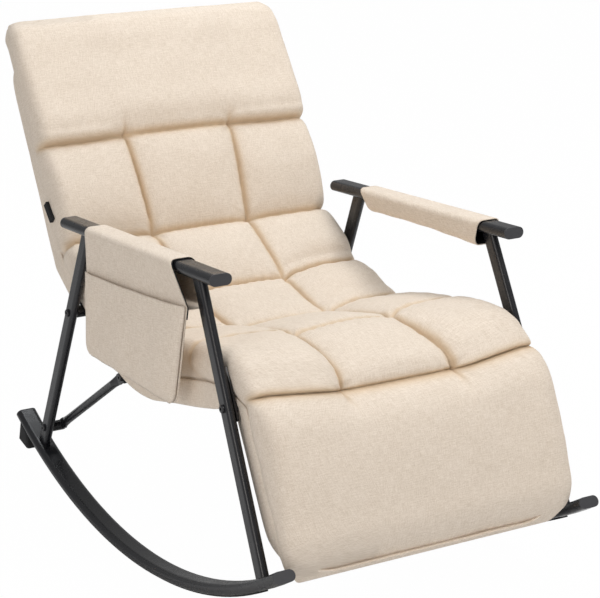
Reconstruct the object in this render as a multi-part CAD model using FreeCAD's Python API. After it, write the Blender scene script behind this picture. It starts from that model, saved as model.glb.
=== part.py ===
"""Reclining rocking chair: curved runners, tube side frames, folding back and leg rest, one tufted pad.

Millimetres. X is across the chair (+X is the sitter's left), the sitter faces -Y, Z is up.
The origin is on the floor, under the middle of the chair, where the runners touch it at rest.
Points in the side plane are (y, z) pairs. Lines of the folding frame run from the foot to the head,
so that their left side is the side of the pad.
"""
import FreeCAD, Part
import math
import os
from collections import namedtuple

V = FreeCAD.Vector
AXIS_X = V(1, 0, 0)
SIDES = (("right", -1), ("left", 1))

# Flat-oval tubes of the two side frames
ARM_WIDTH, ARM_THICK = 40.0, 20.0
LEG_WIDTH, LEG_THICK = 30.0, 15.0
TUBE_WALL = 1.5
ARM_X = 288.0
RUNNER_X = 300.0
CAP_FLANGE, CAP_PLUG, CAP_PLAY = 3.0, 16.0, 0.1

# Runners: arcs about one axis across the chair
RUNNER_RADIUS = 990.5
STRIP_THICK, STRIP_WIDTH = 2.5, 20.0
RUNNER_CENTRE_Z = RUNNER_RADIUS + ARM_THICK / 2 + STRIP_THICK
RUNNER_FRONT_Y, RUNNER_REAR_Y = -528.0, 466.0
STRIP_FRONT_Y, STRIP_REAR_Y = -462.0, 330.0

# Stop blocks: the chair rocks back to this angle, and the distances are along the floor line there
ROCK_STOP_DEG = 13.5
STOP_FRONT, STOP_REAR = 193.0, 237.0
STOP_TOP_FRONT_Y, STOP_TOP_REAR_Y = 427.0, 455.0
STOP_WIDTH, STOP_LIP = 40.0, 5.0

# Side frame, in the plane of one side
ARM_FRONT, ARM_REAR = (-310.0, 590.6), (254.5, 560.4)
FRONT_LEG_TOP, FRONT_LEG_FOOT = (-236.0, 586.6), (-464.9, 133.0)
REAR_LEG_TOP, REAR_LEG_FOOT = (177.2, 564.5), (385.9, 90.3)
BRACE_BOLT_Z = 131.0

# Folding frame: round tube, its centre line through these points
PAD_TUBE_R = 11.0
PAD_TUBE_X = 255.0
BACK_HINGE = (350.0, 454.0)
REAR_BEND, REAR_BEND_R = (238.0, 379.0), 120.0
LOW_BEND, LOW_BEND_R = (30.0, 300.0), 250.0
LEG_HINGE = (-338.2, 384.0)
BACK_TOP = (548.0, 826.0)
LEG_END = (-466.0, 146.0)
CORNER_R = 70.0
FRONT_CROSS_Y = -285.0
BOSS_R, BOSS_RECESS_R, BOSS_RECESS = 11.0, 8.0, 2.4

# Ratchet hinges: distances are from the hinge centre along the tube
HINGE_R, TONGUE_R, CHEEK, TONGUE, SIDE_GAP = 17.0, 15.0, 3.0, 5.6, 0.2
HINGE_BLOCK, HINGE_TUBE, HINGE_PLUG = 18.5, 24.0, 46.0
NOTCHES, NOTCH_PITCH, NOTCH_R = 5, 18.0, 1.6
RIVET_R, RIVET_HEAD_R, RIVET_HEAD, RIVET_PLAY = 4.0, 7.0, 1.6, 0.05

# Plate on the inner side of each front leg, from the hinge centre
PLATE_THICK, PLATE_UP, PLATE_DOWN, PLATE_BACK, PLATE_FRONT, PLATE_NECK = 3.4, 58.0, 22.0, 12.0, 13.0, 8.0

# Braces
BRACE_R, BRACE_WALL, BRACE_X, BRACE_TOP = 8.0, 1.5, 269.5, (96.0, 306.0)
BRACE_FLAT, BRACE_FLAT_WIDTH, BRACE_REACH, BRACE_BLEND, BRACE_ROOM = 5.0, 20.0, 38.0, 22.0, 1.5
TAB_WIDTH, TAB_THICK, TAB_RISE = 24.0, 4.0, 24.0
SPACER_R = 10.0

# Bolts and nuts
BOLT_R, BOLT_HOLE_R, BOLT_HEAD_R, BOLT_HEAD = 4.0, 4.2, 7.0, 4.0
SOCKET_ACROSS, SOCKET_DEPTH, HEAD_ROUND = 5.0, 2.5, 1.8
NUT_ACROSS, NUT_THICK, BOLT_END = 13.0, 6.0, 1.6
FRONT_BOLT, REAR_BOLT, BRACE_BOLT, TAB_BOLT = 30.0, 29.0, 47.5, 17.0

# Pad: heights are measured from the frame's centre line, towards the pad
COLUMN_X = 104.0
DECK, DECK_AT_HINGE = 13.0, 19.0
SLING_LOW, SLING_THICK, SLING_START = 11.0, 1.5, 30.0
SKIRT_GAP, SKIRT_THICK, SKIRT_START, SKIRT_DROP, SKIRT_RISE = 2.0, 8.0, 28.0, 12.0, 12.7
PAD_GAP = 0.8
BACK_REACH, LEG_REACH = 457.0, 292.0
SHOULDER_IN, FOOT_IN = 9.0, 12.0

# Cloth over the armrests: distances are from the centre of the armrest's section
CLOTH = 2.0
SLEEVE_OUT, SLEEVE_IN, SLEEVE_TOP, SLEEVE_ROUND = 23.5, 21.5, 10.8, 10.0
RIGHT_SLEEVE_DROP, LEFT_SLEEVE_DROP = 60.0, 26.0
SLEEVE_REAR_Y, SLEEVE_FRONT_Y, SLEEVE_FRONT_LOW = 142.0, -180.0, (-243.0, 530.0)
PANEL_BOTTOM_Z, PANEL_REAR_Y, PANEL_FRONT_Y, PANEL_CORNER_R = 349.0, 133.0, -203.0, 25.0
POUCH_REAR_Z, POUCH_FRONT_Z, POUCH_DEPTH, POUCH_SLOPE = 500.0, 532.0, 18.0, 34.0
LEFT_SLEEVE_REAR_Y, LEFT_SLEEVE_FRONT_Y = 174.0, -220.0
TAG_FRONT, TAG_REAR, TAG_WIDTH, TAG_THICK = (336.0, 545.0), (362.0, 573.0), 16.0, 2.0


def save(name, solids):
    """One file for each piece; like pieces are a compound of separate solids."""
    shape = solids[0] if len(solids) == 1 else Part.makeCompound(solids)
    shape.exportStep("parts/" + name + ".step")
    box = shape.BoundBox
    print(f"{name:24s} solids {len(shape.Solids)} valid {shape.isValid()} litres {shape.Volume / 1e6:7.3f}"
          f"  y {box.YMin:7.1f} {box.YMax:7.1f}  z {box.ZMin:7.1f} {box.ZMax:7.1f}")


def largest(shape):
    return max(shape.Solids, key=lambda solid: solid.Volume)


def innermost(shape):
    return min(shape.Solids, key=lambda solid: abs(solid.CenterOfMass.x))


def unit(a, b):
    length = math.dist(a, b)
    return (b[0] - a[0]) / length, (b[1] - a[1]) / length


def along(a, b, distance):
    d = unit(a, b)
    return a[0] + d[0] * distance, a[1] + d[1] * distance


def crossing(a, b, c, d):
    """Where the line a-b meets the line c-d."""
    p, q = unit(a, b), unit(c, d)
    share = ((c[0] - a[0]) * q[1] - (c[1] - a[1]) * q[0]) / (p[0] * q[1] - p[1] * q[0])
    return a[0] + p[0] * share, a[1] + p[1] * share


def cylinder(radius, x_from, x_to, at):
    """A round bar across the chair."""
    return Part.makeCylinder(radius, abs(x_to - x_from), V(min(x_from, x_to), *at), AXIS_X)


def plate(x_from, x_to, corners):
    """A flat plate square to X with the outline of the given points."""
    outline = Part.makePolygon([V(x_from, *c) for c in corners + corners[:1]])
    return Part.Face(outline).extrude(AXIS_X * (x_to - x_from))


def flat_oval(width, thick, centre, across, up):
    """Outline with two flats and two round edges, `width` along `across`."""
    half, r = (width - thick) / 2, thick / 2
    a, b = centre + across * half, centre - across * half
    return Part.Wire([
        Part.LineSegment(b + up * r, a + up * r).toShape(),
        Part.Arc(a + up * r, a + across * r, a - up * r).toShape(),
        Part.LineSegment(a - up * r, b - up * r).toShape(),
        Part.Arc(b - up * r, b - across * r, b + up * r).toShape(),
    ])


def oval_faces(width, thick, centre, across, up):
    """Cross-section of a flat-oval tube, and of its full outline."""
    full = Part.Face(flat_oval(width, thick, centre, across, up))
    bore = Part.Face(flat_oval(width - 2 * TUBE_WALL, thick - 2 * TUBE_WALL, centre, across, up))
    return full.cut(bore).Faces[0], full


# Bent lines in the side plane

def bent_line(points, radii, offset=0.0):
    """Straight runs joined by tangent arcs, moved by `offset` to the left of their direction.

    Gives (start, middle, end) for each piece of the line, with no middle on a straight run.
    """
    lefts = []
    for a, b in zip(points, points[1:]):
        d = unit(a, b)
        lefts.append((-d[1], d[0]))
    moved = [(points[0][0] + lefts[0][0] * offset, points[0][1] + lefts[0][1] * offset)]
    for point, m, n in zip(points[1:-1], lefts, lefts[1:]):
        share = offset / (1 + m[0] * n[0] + m[1] * n[1])
        moved.append((point[0] + (m[0] + n[0]) * share, point[1] + (m[1] + n[1]) * share))
    moved.append((points[-1][0] + lefts[-1][0] * offset, points[-1][1] + lefts[-1][1] * offset))
    pieces, start = [], moved[0]
    for before, corner, after, bend_r in zip(moved, moved[1:], moved[2:], radii):
        d0, d1 = unit(before, corner), unit(corner, after)
        turn = math.atan2(d0[0] * d1[1] - d0[1] * d1[0], d0[0] * d1[0] + d0[1] * d1[1])
        radius = bend_r - math.copysign(1, turn) * offset
        back = radius * math.tan(abs(turn) / 2)
        first, last = along(corner, before, back), along(corner, after, back)
        chord_middle = ((first[0] + last[0]) / 2, (first[1] + last[1]) / 2)
        middle = along(corner, chord_middle, radius / math.cos(turn / 2) - radius)
        pieces += [(start, None, first), (first, middle, last)]
        start = last
    return pieces + [(start, None, moved[-1])]


def edges_at(x, pieces):
    return [Part.LineSegment(V(x, *start), V(x, *end)).toShape() if middle is None
            else Part.Arc(V(x, *start), V(x, *middle), V(x, *end)).toShape()
            for start, middle, end in pieces]


def band_along(points, radii, low, high, x_from, x_to):
    """A slab that follows a bent line, from `low` to `high` beside it, between two X positions."""
    under, over = bent_line(points, radii, low), bent_line(points, radii, high)
    ends = [(under[0][0], None, over[0][0]), (under[-1][2], None, over[-1][2])]
    outline = Part.Wire(Part.__sortEdges__(edges_at(x_from, under + over + ends)))
    return Part.Face(outline).extrude(AXIS_X * (x_to - x_from))


def swept(edges, radius):
    first = edges[0]
    start, ahead = first.valueAt(first.FirstParameter), first.tangentAt(first.FirstParameter)
    ring = Part.Wire([Part.makeCircle(radius, start, ahead)])
    return Part.Wire(edges).makePipeShell([ring], True, True)


def round_tube(edges):
    """The hollow tube along a chain of edges, and the full bar of the same outline."""
    full = swept(edges, PAD_TUBE_R)
    return largest(full.cut(swept(edges, PAD_TUBE_R - TUBE_WALL))), full


# Side frames

class Leg:
    """A leg that leans from the armrest out to the runner, with its own axes."""

    def __init__(self, side, top, foot):
        self.top, self.foot = V(side * ARM_X, *top), V(side * RUNNER_X, *foot)
        self.down = (self.foot - self.top).normalize()
        self.front = V(0, self.down.z, -self.down.y).normalize()
        self.out = self.down.cross(self.front)
        if self.out.x * side < 0:
            self.out = self.out * -1

    def face(self, z, out=0.0):
        """The point at height z on the leg's centre line, moved outwards."""
        share = (self.top.z - z) / (self.top.z - self.foot.z)
        return self.top + (self.foot - self.top) * share + self.out * out

    def pin(self, z, radius, out_from, out_to):
        """A round bar square to the leg's side face."""
        return Part.makeCylinder(radius, out_to - out_from, self.face(z, out_from), self.out)

    def tube(self, neighbours, bolt_heights):
        """The leg's tube, coped to the pieces at its ends and drilled; and its full outline."""
        ring, full = oval_faces(LEG_WIDTH, LEG_THICK, self.top, self.front, self.out)
        run = self.foot - self.top
        holes = [self.pin(z, BOLT_HOLE_R, -LEG_THICK, LEG_THICK) for z in bolt_heights]
        return largest(ring.extrude(run).cut(neighbours + holes)), full.extrude(run)


def armrest(side):
    forward = V(0, *unit(ARM_REAR, ARM_FRONT))
    ring, full = oval_faces(ARM_WIDTH, ARM_THICK, V(side * ARM_X, *ARM_FRONT), AXIS_X, forward.cross(AXIS_X))
    run = forward * -math.dist(ARM_FRONT, ARM_REAR)
    return ring.extrude(run), full.extrude(run)


def runner_point(y, radius=RUNNER_RADIUS):
    return y, RUNNER_CENTRE_Z - math.sqrt(radius * radius - y * y)


def runner_angle(y, radius=RUNNER_RADIUS):
    return math.asin(y / radius)


def runner_outline(side, y, inset=0.0):
    """The runner's outline at y, square to its arc."""
    angle = runner_angle(y)
    outward = V(0, math.sin(angle), -math.cos(angle))
    centre = V(side * RUNNER_X, *runner_point(y))
    return flat_oval(ARM_WIDTH - 2 * inset, ARM_THICK - 2 * inset, centre, AXIS_X, outward)


def turned(face, angle):
    """A solid made by turning a face about the runners' axis."""
    return face.revolve(V(0, 0, RUNNER_CENTRE_Z), AXIS_X, math.degrees(angle))


def runner(side):
    span = runner_angle(RUNNER_REAR_Y) - runner_angle(RUNNER_FRONT_Y)
    full = Part.Face(runner_outline(side, RUNNER_FRONT_Y))
    bore = Part.Face(runner_outline(side, RUNNER_FRONT_Y, TUBE_WALL))
    return turned(full.cut(bore).Faces[0], span), turned(full, span)


def anti_slip_strip(side):
    """The soft strip under the runner, on which the chair rocks."""
    radius = RUNNER_RADIUS + ARM_THICK / 2
    angle = runner_angle(STRIP_FRONT_Y, radius)
    outward = V(0, math.sin(angle), -math.cos(angle))
    top = V(side * RUNNER_X, *runner_point(STRIP_FRONT_Y, radius))
    half, low = AXIS_X * (STRIP_WIDTH / 2), outward * STRIP_THICK
    outline = Part.makePolygon([top - half, top + half, top + half + low, top - half + low, top - half])
    return turned(Part.Face(outline), runner_angle(STRIP_REAR_Y, radius) - angle)


def stop_block(side, runner_full):
    """Flared rubber block that meets the floor flat and ends the rock backwards."""
    tilt = math.radians(ROCK_STOP_DEG)
    touch = (RUNNER_CENTRE_Z * math.sin(tilt), RUNNER_CENTRE_Z * (1 - math.cos(tilt)))
    ahead = (touch[0] + math.cos(tilt), touch[1] + math.sin(tilt))
    corners = [along(touch, ahead, STOP_FRONT), along(touch, ahead, STOP_REAR)]
    for y in (STOP_TOP_REAR_Y, STOP_TOP_FRONT_Y):
        corners.append((y, runner_point(y)[1] - STOP_LIP))
    x = side * RUNNER_X
    block = plate(x - STOP_WIDTH / 2, x + STOP_WIDTH / 2, corners)
    uprights = [e for e in block.Edges if abs(e.tangentAt(e.FirstParameter).z) > 0.7]
    return largest(block.makeFillet(STOP_LIP, uprights).cut(runner_full))


def capped(flange, plug):
    return largest(flange.fuse(plug).removeSplitter())


def arm_caps(side):
    """Moulded ends: a flange that carries the tube's outline on, and a plug inside the tube."""
    caps, inset = [], 2 * (TUBE_WALL + CAP_PLAY)
    for at, other in ((ARM_FRONT, ARM_REAR), (ARM_REAR, ARM_FRONT)):
        away, centre = V(0, *unit(other, at)), V(side * ARM_X, *at)
        up = away.cross(AXIS_X)
        flange = Part.Face(flat_oval(ARM_WIDTH, ARM_THICK, centre, AXIS_X, up))
        plug = Part.Face(flat_oval(ARM_WIDTH - inset, ARM_THICK - inset, centre, AXIS_X, up))
        caps.append(capped(flange.extrude(away * CAP_FLANGE), plug.extrude(away * -CAP_PLUG)))
    return caps


def runner_caps(side):
    caps = []
    for y, sign in ((RUNNER_FRONT_Y, -1), (RUNNER_REAR_Y, 1)):
        flange = Part.Face(runner_outline(side, y))
        plug = Part.Face(runner_outline(side, y, TUBE_WALL + CAP_PLAY))
        caps.append(capped(turned(flange, sign * CAP_FLANGE / RUNNER_RADIUS),
                           turned(plug, -sign * CAP_PLUG / RUNNER_RADIUS)))
    return caps


# Fasteners

def hexagon(across, base, axis, height):
    """A six-sided bar, `across` its flats, standing on `base`."""
    side = V(0, 0, 1).cross(axis).normalize()
    other, r = axis.cross(side), across / math.sqrt(3)
    turns = [k * math.pi / 3 for k in range(7)]
    ring = [base + side * (r * math.cos(t)) + other * (r * math.sin(t)) for t in turns]
    return Part.Face(Part.makePolygon(ring)).extrude(axis * height)


def bolt(seat, out, length):
    """A round-headed bolt with a hexagon socket; its head rests on `seat` and points `out`."""
    head = Part.makeCylinder(BOLT_HEAD_R, BOLT_HEAD, seat, out)
    top = seat + out * BOLT_HEAD
    rim = [e for e in head.Edges if (e.CenterOfMass - top).Length < 0.1]
    head = head.makeFillet(HEAD_ROUND, rim)
    socket = hexagon(SOCKET_ACROSS, top - out * SOCKET_DEPTH, out, BOLT_HEAD)
    shank = Part.makeCylinder(BOLT_R, length, seat - out * length, out)
    return largest(head.cut(socket).fuse(shank).removeSplitter())


def nut(base, axis):
    blank = hexagon(NUT_ACROSS, base, axis, NUT_THICK)
    return blank.cut(Part.makeCylinder(BOLT_R, NUT_THICK, base, axis))


# Folding frame under the pad

RAIL_LINE = [LEG_HINGE, LOW_BEND, REAR_BEND, BACK_HINGE]
RAIL_RADII = [LOW_BEND_R, REAR_BEND_R]
REAR_BOSS = crossing(REAR_LEG_TOP, REAR_LEG_FOOT, REAR_BEND, BACK_HINGE)
FRONT_CROSS = crossing(LEG_HINGE, LOW_BEND, (FRONT_CROSS_Y, 0.0), (FRONT_CROSS_Y, 1.0))


def trimmed_rail_line(start):
    """The rail's line, beginning and ending that far from the hinge centres."""
    return [along(LEG_HINGE, LOW_BEND, start), LOW_BEND, REAR_BEND, along(BACK_HINGE, REAR_BEND, start)]


def seat_rail(side):
    return round_tube(edges_at(side * PAD_TUBE_X, bent_line(trimmed_rail_line(HINGE_TUBE), RAIL_RADII)))


def cross_tube(at, rails):
    tube = cylinder(PAD_TUBE_R, -PAD_TUBE_X, PAD_TUBE_X, at)
    bore = cylinder(PAD_TUBE_R - TUBE_WALL, -PAD_TUBE_X, PAD_TUBE_X, at)
    return largest(tube.cut([bore] + rails))


def round_ended(half, near, far, corner, at, closed):
    """Two long sides joined round the far end, with one arc at each corner."""
    cut = corner * (1 - math.sqrt(0.5))
    edges = [
        Part.LineSegment(at(-half, near), at(-half, far - corner)).toShape(),
        Part.Arc(at(-half, far - corner), at(-half + cut, far - cut), at(-half + corner, far)).toShape(),
        Part.LineSegment(at(-half + corner, far), at(half - corner, far)).toShape(),
        Part.Arc(at(half - corner, far), at(half - cut, far - cut), at(half, far - corner)).toShape(),
        Part.LineSegment(at(half, far - corner), at(half, near)).toShape(),
    ]
    if closed:
        edges.append(Part.LineSegment(at(half, near), at(-half, near)).toShape())
    return edges


def u_tube(hinge, end):
    return round_tube(round_ended(PAD_TUBE_X, HINGE_TUBE, math.dist(hinge, end), CORNER_R,
                                  lambda x, s: V(x, *along(hinge, end, s)), False))[0]


def panel(hinge, end, half, near, far, corner, low, high):
    """A flat panel over a U tube, round at its two far corners, from `low` to `high` towards the pad."""
    d = V(0, *unit(hinge, end))
    pad_side = AXIS_X.cross(d) if d.z > 0 else d.cross(AXIS_X)
    origin = V(0, *hinge) + pad_side * low
    edges = round_ended(half, near, far, corner, lambda x, s: origin + AXIS_X * x + d * s, True)
    return Part.Face(Part.Wire(edges)).extrude(pad_side * (high - low))


def sling(hinge, end):
    return panel(hinge, end, PAD_TUBE_X, SLING_START, math.dist(hinge, end), CORNER_R,
                 SLING_LOW, SLING_LOW + SLING_THICK)


def skirt(hinge, end):
    """The cover's lower edge, round the outside of a U tube."""
    total, inner = math.dist(hinge, end), PAD_TUBE_R + SKIRT_GAP
    outer = inner + SKIRT_THICK
    body = panel(hinge, end, PAD_TUBE_X + outer, SKIRT_START, total + outer, CORNER_R + outer,
                 -SKIRT_DROP, SKIRT_RISE)
    return body.cut(panel(hinge, end, PAD_TUBE_X + inner, 0, total + inner, CORNER_R + inner,
                          -SKIRT_DROP - 1, SKIRT_RISE + 1))


def seat_skirts(side):
    """The same edge along a seat rail, open round the rear leg's boss and over the brace's end."""
    inner = side * (PAD_TUBE_X + PAD_TUBE_R + SKIRT_GAP)
    band = band_along(trimmed_rail_line(SKIRT_START), RAIL_RADII, -SKIRT_DROP, SKIRT_RISE,
                      inner, inner + side * SKIRT_THICK)
    brace_end_room = cylinder(BRACE_FLAT_WIDTH / 2 + BRACE_ROOM, 0, side * ARM_X, BRACE_TOP)
    return band.cut([cylinder(BOSS_R + 2 * SKIRT_GAP, 0, side * ARM_X, REAR_BOSS), brace_end_room]).Solids


# Ratchet hinges

def slab(x, thick, hinge, towards, near, far, half_height):
    """A flat block beside the hinge centre, `near` to `far` from it along one direction."""
    d = unit(hinge, towards)
    corners = [(hinge[0] + d[0] * s - d[1] * h, hinge[1] + d[1] * s + d[0] * h)
               for s, h in ((near, -half_height), (far, -half_height), (far, half_height), (near, half_height))]
    return plate(x - thick / 2, x + thick / 2, corners)


def tube_plug(x, hinge, towards):
    start, end = V(x, *along(hinge, towards, HINGE_TUBE)), V(x, *along(hinge, towards, HINGE_PLUG))
    return Part.makeCylinder(PAD_TUBE_R - TUBE_WALL, (end - start).Length, start, end - start)


def hinge_fork(side, hinge, towards):
    """Two round cheeks on one block, with a plug pressed into the rail."""
    x, half, flank = side * PAD_TUBE_X, TONGUE / 2 + SIDE_GAP, PAD_TUBE_R - 1
    block = slab(x, 2 * (half + CHEEK), hinge, towards, HINGE_BLOCK, HINGE_TUBE, flank)
    pieces = [tube_plug(x, hinge, towards)]
    for sign in (-1, 1):
        near = x + sign * half
        pieces.append(cylinder(HINGE_R, near, near + sign * CHEEK, hinge))
        pieces.append(slab(near + sign * CHEEK / 2, CHEEK, hinge, towards, 0, HINGE_BLOCK + 1, flank))
    body = block.fuse(pieces).cut(cylinder(RIVET_R, x - HINGE_R, x + HINGE_R, hinge))
    return largest(body.removeSplitter())


def hinge_tongue(side, hinge, towards):
    """The moving plate between the cheeks, with locking notches round its edge."""
    x = side * PAD_TUBE_X
    disc = cylinder(TONGUE_R, x - TONGUE / 2, x + TONGUE / 2, hinge)
    d = unit(hinge, towards)
    opposite = math.atan2(-d[1], -d[0])
    for k in range(NOTCHES):
        angle = opposite + math.radians((k - (NOTCHES - 1) / 2) * NOTCH_PITCH)
        notch = (hinge[0] + TONGUE_R * math.cos(angle), hinge[1] + TONGUE_R * math.sin(angle))
        disc = disc.cut(cylinder(NOTCH_R, x - TONGUE, x + TONGUE, notch))
    neck = slab(x, TONGUE, hinge, towards, 0, HINGE_TUBE, TONGUE_R / 2)
    shoulder = slab(x, 2 * PAD_TUBE_R - 4, hinge, towards, HINGE_BLOCK, HINGE_TUBE, PAD_TUBE_R - 2)
    body = disc.fuse([neck, shoulder, tube_plug(x, hinge, towards)])
    hole = cylinder(RIVET_R + RIVET_PLAY, x - HINGE_R, x + HINGE_R, hinge)
    return largest(body.cut(hole).removeSplitter())


def rivet(side, hinge):
    x, half = side * PAD_TUBE_X, TONGUE / 2 + SIDE_GAP + CHEEK
    heads = [cylinder(RIVET_HEAD_R, x + sign * half, x + sign * (half + RIVET_HEAD), hinge) for sign in (-1, 1)]
    return largest(cylinder(RIVET_R, x - half, x + half, hinge).fuse(heads).removeSplitter())


# What holds the folding frame in the side frames

def hinge_plate(leg):
    """The flat bar on the inner side of the front leg, wider round the hinge."""
    inner, hinge_z = -LEG_THICK / 2, LEG_HINGE[1]
    top, bottom = leg.face(hinge_z + PLATE_UP, inner), leg.face(hinge_z - PLATE_DOWN, inner)
    neck = leg.face(hinge_z + PLATE_UP * 0.6, inner)
    corners = [top - leg.front * PLATE_NECK, top + leg.front * PLATE_NECK, neck + leg.front * PLATE_FRONT,
               bottom + leg.front * PLATE_FRONT, bottom - leg.front * PLATE_BACK, neck - leg.front * PLATE_BACK]
    solid = Part.Face(Part.makePolygon(corners + corners[:1])).extrude(leg.out * -PLATE_THICK)
    return solid.cut(leg.pin(hinge_z, BOLT_HOLE_R, -LEG_THICK, LEG_THICK))


def front_boss(side, leg, plate_solid, leg_full):
    """From the outer cheek of the leg-rest hinge to the plate on the leg."""
    face = side * (PAD_TUBE_X + TONGUE / 2 + SIDE_GAP + CHEEK)
    blank = cylinder(BOSS_R, face, side * ARM_X, LEG_HINGE)
    recess = cylinder(BOSS_RECESS_R, face, face + side * BOSS_RECESS, LEG_HINGE)
    bore = leg.pin(LEG_HINGE[1], BOLT_R, LEG_THICK / 2 - FRONT_BOLT, LEG_THICK)
    return innermost(blank.cut([recess, bore, plate_solid, leg_full]))


def rear_boss(side, leg, rail_full, leg_full):
    """From the seat rail to the rear leg."""
    bore = leg.pin(REAR_BOSS[1], BOLT_R, LEG_THICK / 2 - REAR_BOLT, LEG_THICK)
    blank = cylinder(BOSS_R, side * PAD_TUBE_X, side * ARM_X, REAR_BOSS)
    return largest(blank.cut([bore, rail_full, leg_full]))


def brace_end(x, at, towards):
    """The brace's flattened end, from its rounded tip to where the tube is round."""
    ahead = (V(x, *towards) - V(x, *at)).normalize()
    up, start = ahead.cross(AXIS_X), V(x, *at)
    flat_end, round_end = start + ahead * (BRACE_REACH - BRACE_BLEND), start + ahead * BRACE_REACH
    tip = cylinder(BRACE_FLAT_WIDTH / 2, x - BRACE_FLAT / 2, x + BRACE_FLAT / 2, at)
    half, thick = up * (BRACE_FLAT_WIDTH / 2), AXIS_X * (BRACE_FLAT / 2)
    first = start - thick - half
    strip = Part.makePolygon([first, first + half * 2, first + half * 2 + thick * 2, first + thick * 2, first])
    bar = Part.Face(strip).extrude(flat_end - start)
    flat = flat_oval(BRACE_FLAT_WIDTH, BRACE_FLAT, flat_end, up, AXIS_X)
    s = BRACE_R * math.sqrt(0.5)
    corners = [round_end + up * (a * s) + AXIS_X * (b * s) for a, b in ((-1, 1), (1, 1), (1, -1), (-1, -1))]
    middles = [round_end + v * BRACE_R for v in (AXIS_X, up, AXIS_X * -1, up * -1)]
    ring = Part.Wire([Part.Arc(corners[k], middles[k], corners[(k + 1) % 4]).toShape() for k in range(4)])
    return [tip, bar, Part.makeLoft([flat, ring], True, True)]


def brace(side, low, leg):
    x = side * BRACE_X
    ends = brace_end(x, low, BRACE_TOP) + brace_end(x, BRACE_TOP, low)
    a, b = V(x, *along(low, BRACE_TOP, BRACE_REACH)), V(x, *along(BRACE_TOP, low, BRACE_REACH))
    tube = Part.makeCylinder(BRACE_R, (b - a).Length, a, b - a)
    tube = tube.cut(Part.makeCylinder(BRACE_R - BRACE_WALL, (b - a).Length, a, b - a))
    holes = [leg.pin(BRACE_BOLT_Z, BOLT_HOLE_R, -BRACE_BOLT, 0),
             cylinder(BOLT_HOLE_R, x - BRACE_R, x + BRACE_R, BRACE_TOP)]
    return largest(tube.fuse(ends).cut(holes).removeSplitter())


def brace_tab(side, rail_full):
    inner = side * (BRACE_X - BRACE_FLAT / 2 - TAB_THICK)
    outer, half = inner + side * TAB_THICK, TAB_WIDTH / 2
    y, z = BRACE_TOP
    sheet = plate(inner, outer, [(y - half, z), (y + half, z), (y + half, z + TAB_RISE), (y - half, z + TAB_RISE)])
    body = sheet.fuse(cylinder(half, inner, outer, BRACE_TOP)).cut(cylinder(BOLT_HOLE_R, inner, outer, BRACE_TOP))
    return largest(body.removeSplitter().cut(rail_full))


def brace_spacer(side, low, leg, leg_full):
    blank = cylinder(SPACER_R, side * (BRACE_X + BRACE_FLAT / 2), side * RUNNER_X, low)
    return innermost(blank.cut([leg_full, leg.pin(BRACE_BOLT_Z, BOLT_HOLE_R, -BRACE_BOLT, LEG_THICK)]))


# Pad

# A cut across the pad: its place, its lean in degrees, its half width, and its heights.
# On the back and the leg rest `at` is the distance from the hinge, and on the seat from the leg hinge.
Cut = namedtuple("Cut", "at lean half deck edge crown valley")
RAIL_EDGES = edges_at(0, bent_line(RAIL_LINE, RAIL_RADII))
RAIL_LENGTH = sum(edge.Length for edge in RAIL_EDGES)
SEAT_FRONT = Cut(0, 90, 279, DECK_AT_HINGE, 66, 88, 76)
SEAT_SWELL = Cut(50, 84, 279, DECK, 82, 100, 88)
SEAM_D = Cut(104, 77, 279, DECK, 70, 88, 80)
SEAM_D2 = Cut(316, 85, 281, DECK, 71, 89, 81)
SEAM_C = Cut(528, 110.8, 279.5, DECK, 68, 74, 65)
SEAM_B_SEAT = Cut(RAIL_LENGTH - PAD_GAP, 138.3, 284, DECK_AT_HINGE, 70, 82, 75)
SEAM_B_BACK = SEAM_B_SEAT._replace(at=PAD_GAP)
BACK_LEAN, LEG_LEAN = 152.1, 151.8
SEAM_A = Cut(215, BACK_LEAN, 287, DECK, 66, 78, 70)
HEAD_CUTS = [Cut(245, BACK_LEAN, 288, DECK, 70, 90, 83), Cut(310, BACK_LEAN, 288, DECK, 64, 91, 87),
             Cut(375, BACK_LEAN, 285, DECK, 57, 82, 79), Cut(425, BACK_LEAN, 275, DECK, 46, 63, 61),
             Cut(BACK_REACH, BACK_LEAN, 252, DECK, 28, 34, 32)]
SEAM_E = Cut(PAD_GAP, 166.5, 278, DECK_AT_HINGE, 67, 64, 55)
LEG_CUTS = [Cut(22, 162, 279, 16, 81, 86, 77), Cut(50, 157, 281, DECK, 91, 98, 91),
            Cut(104, LEG_LEAN, 283, DECK, 96, 105, 101), Cut(158, LEG_LEAN, 283, DECK, 90, 99, 96),
            Cut(209, LEG_LEAN, 283, DECK, 78, 87, 85), Cut(254, LEG_LEAN, 281, DECK, 64, 72, 70),
            Cut(280, LEG_LEAN, 272, DECK, 38, 43, 41), Cut(LEG_REACH, LEG_LEAN, 256, DECK, 20, 23, 21)]
KNEE_TURNS = (0.0, 0.33, 0.66, 0.985)
TUFT = {"edge": 9, "crown": 20, "valley": 12}


def between(first, last, share, swell=0.0):
    """A cut between two others; `swell` is how far the tuft stands up there, from 0 to 1."""
    values = {name: getattr(first, name) + (getattr(last, name) - getattr(first, name)) * share
              for name in Cut._fields}
    for name, rise in TUFT.items():
        values[name] += rise * swell
    return Cut(**values)


def row(first, last, half):
    """The cuts of one tufted row, between its two seams."""
    cuts = []
    for share in (0.12, 0.5, 0.88):
        cut = between(first, last, share, math.sqrt(1 - (2 * share - 1) ** 2))
        cuts.append(cut._replace(deck=DECK, half=half))
    return cuts


def rail_point(distance):
    """The point on the seat rail's centre line, measured from the leg-rest hinge."""
    for edge in RAIL_EDGES[:-1]:
        if distance <= edge.Length:
            return edge.valueAt(edge.getParameterByLength(distance))
        distance -= edge.Length
    return RAIL_EDGES[-1].valueAt(RAIL_EDGES[-1].getParameterByLength(distance))


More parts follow.
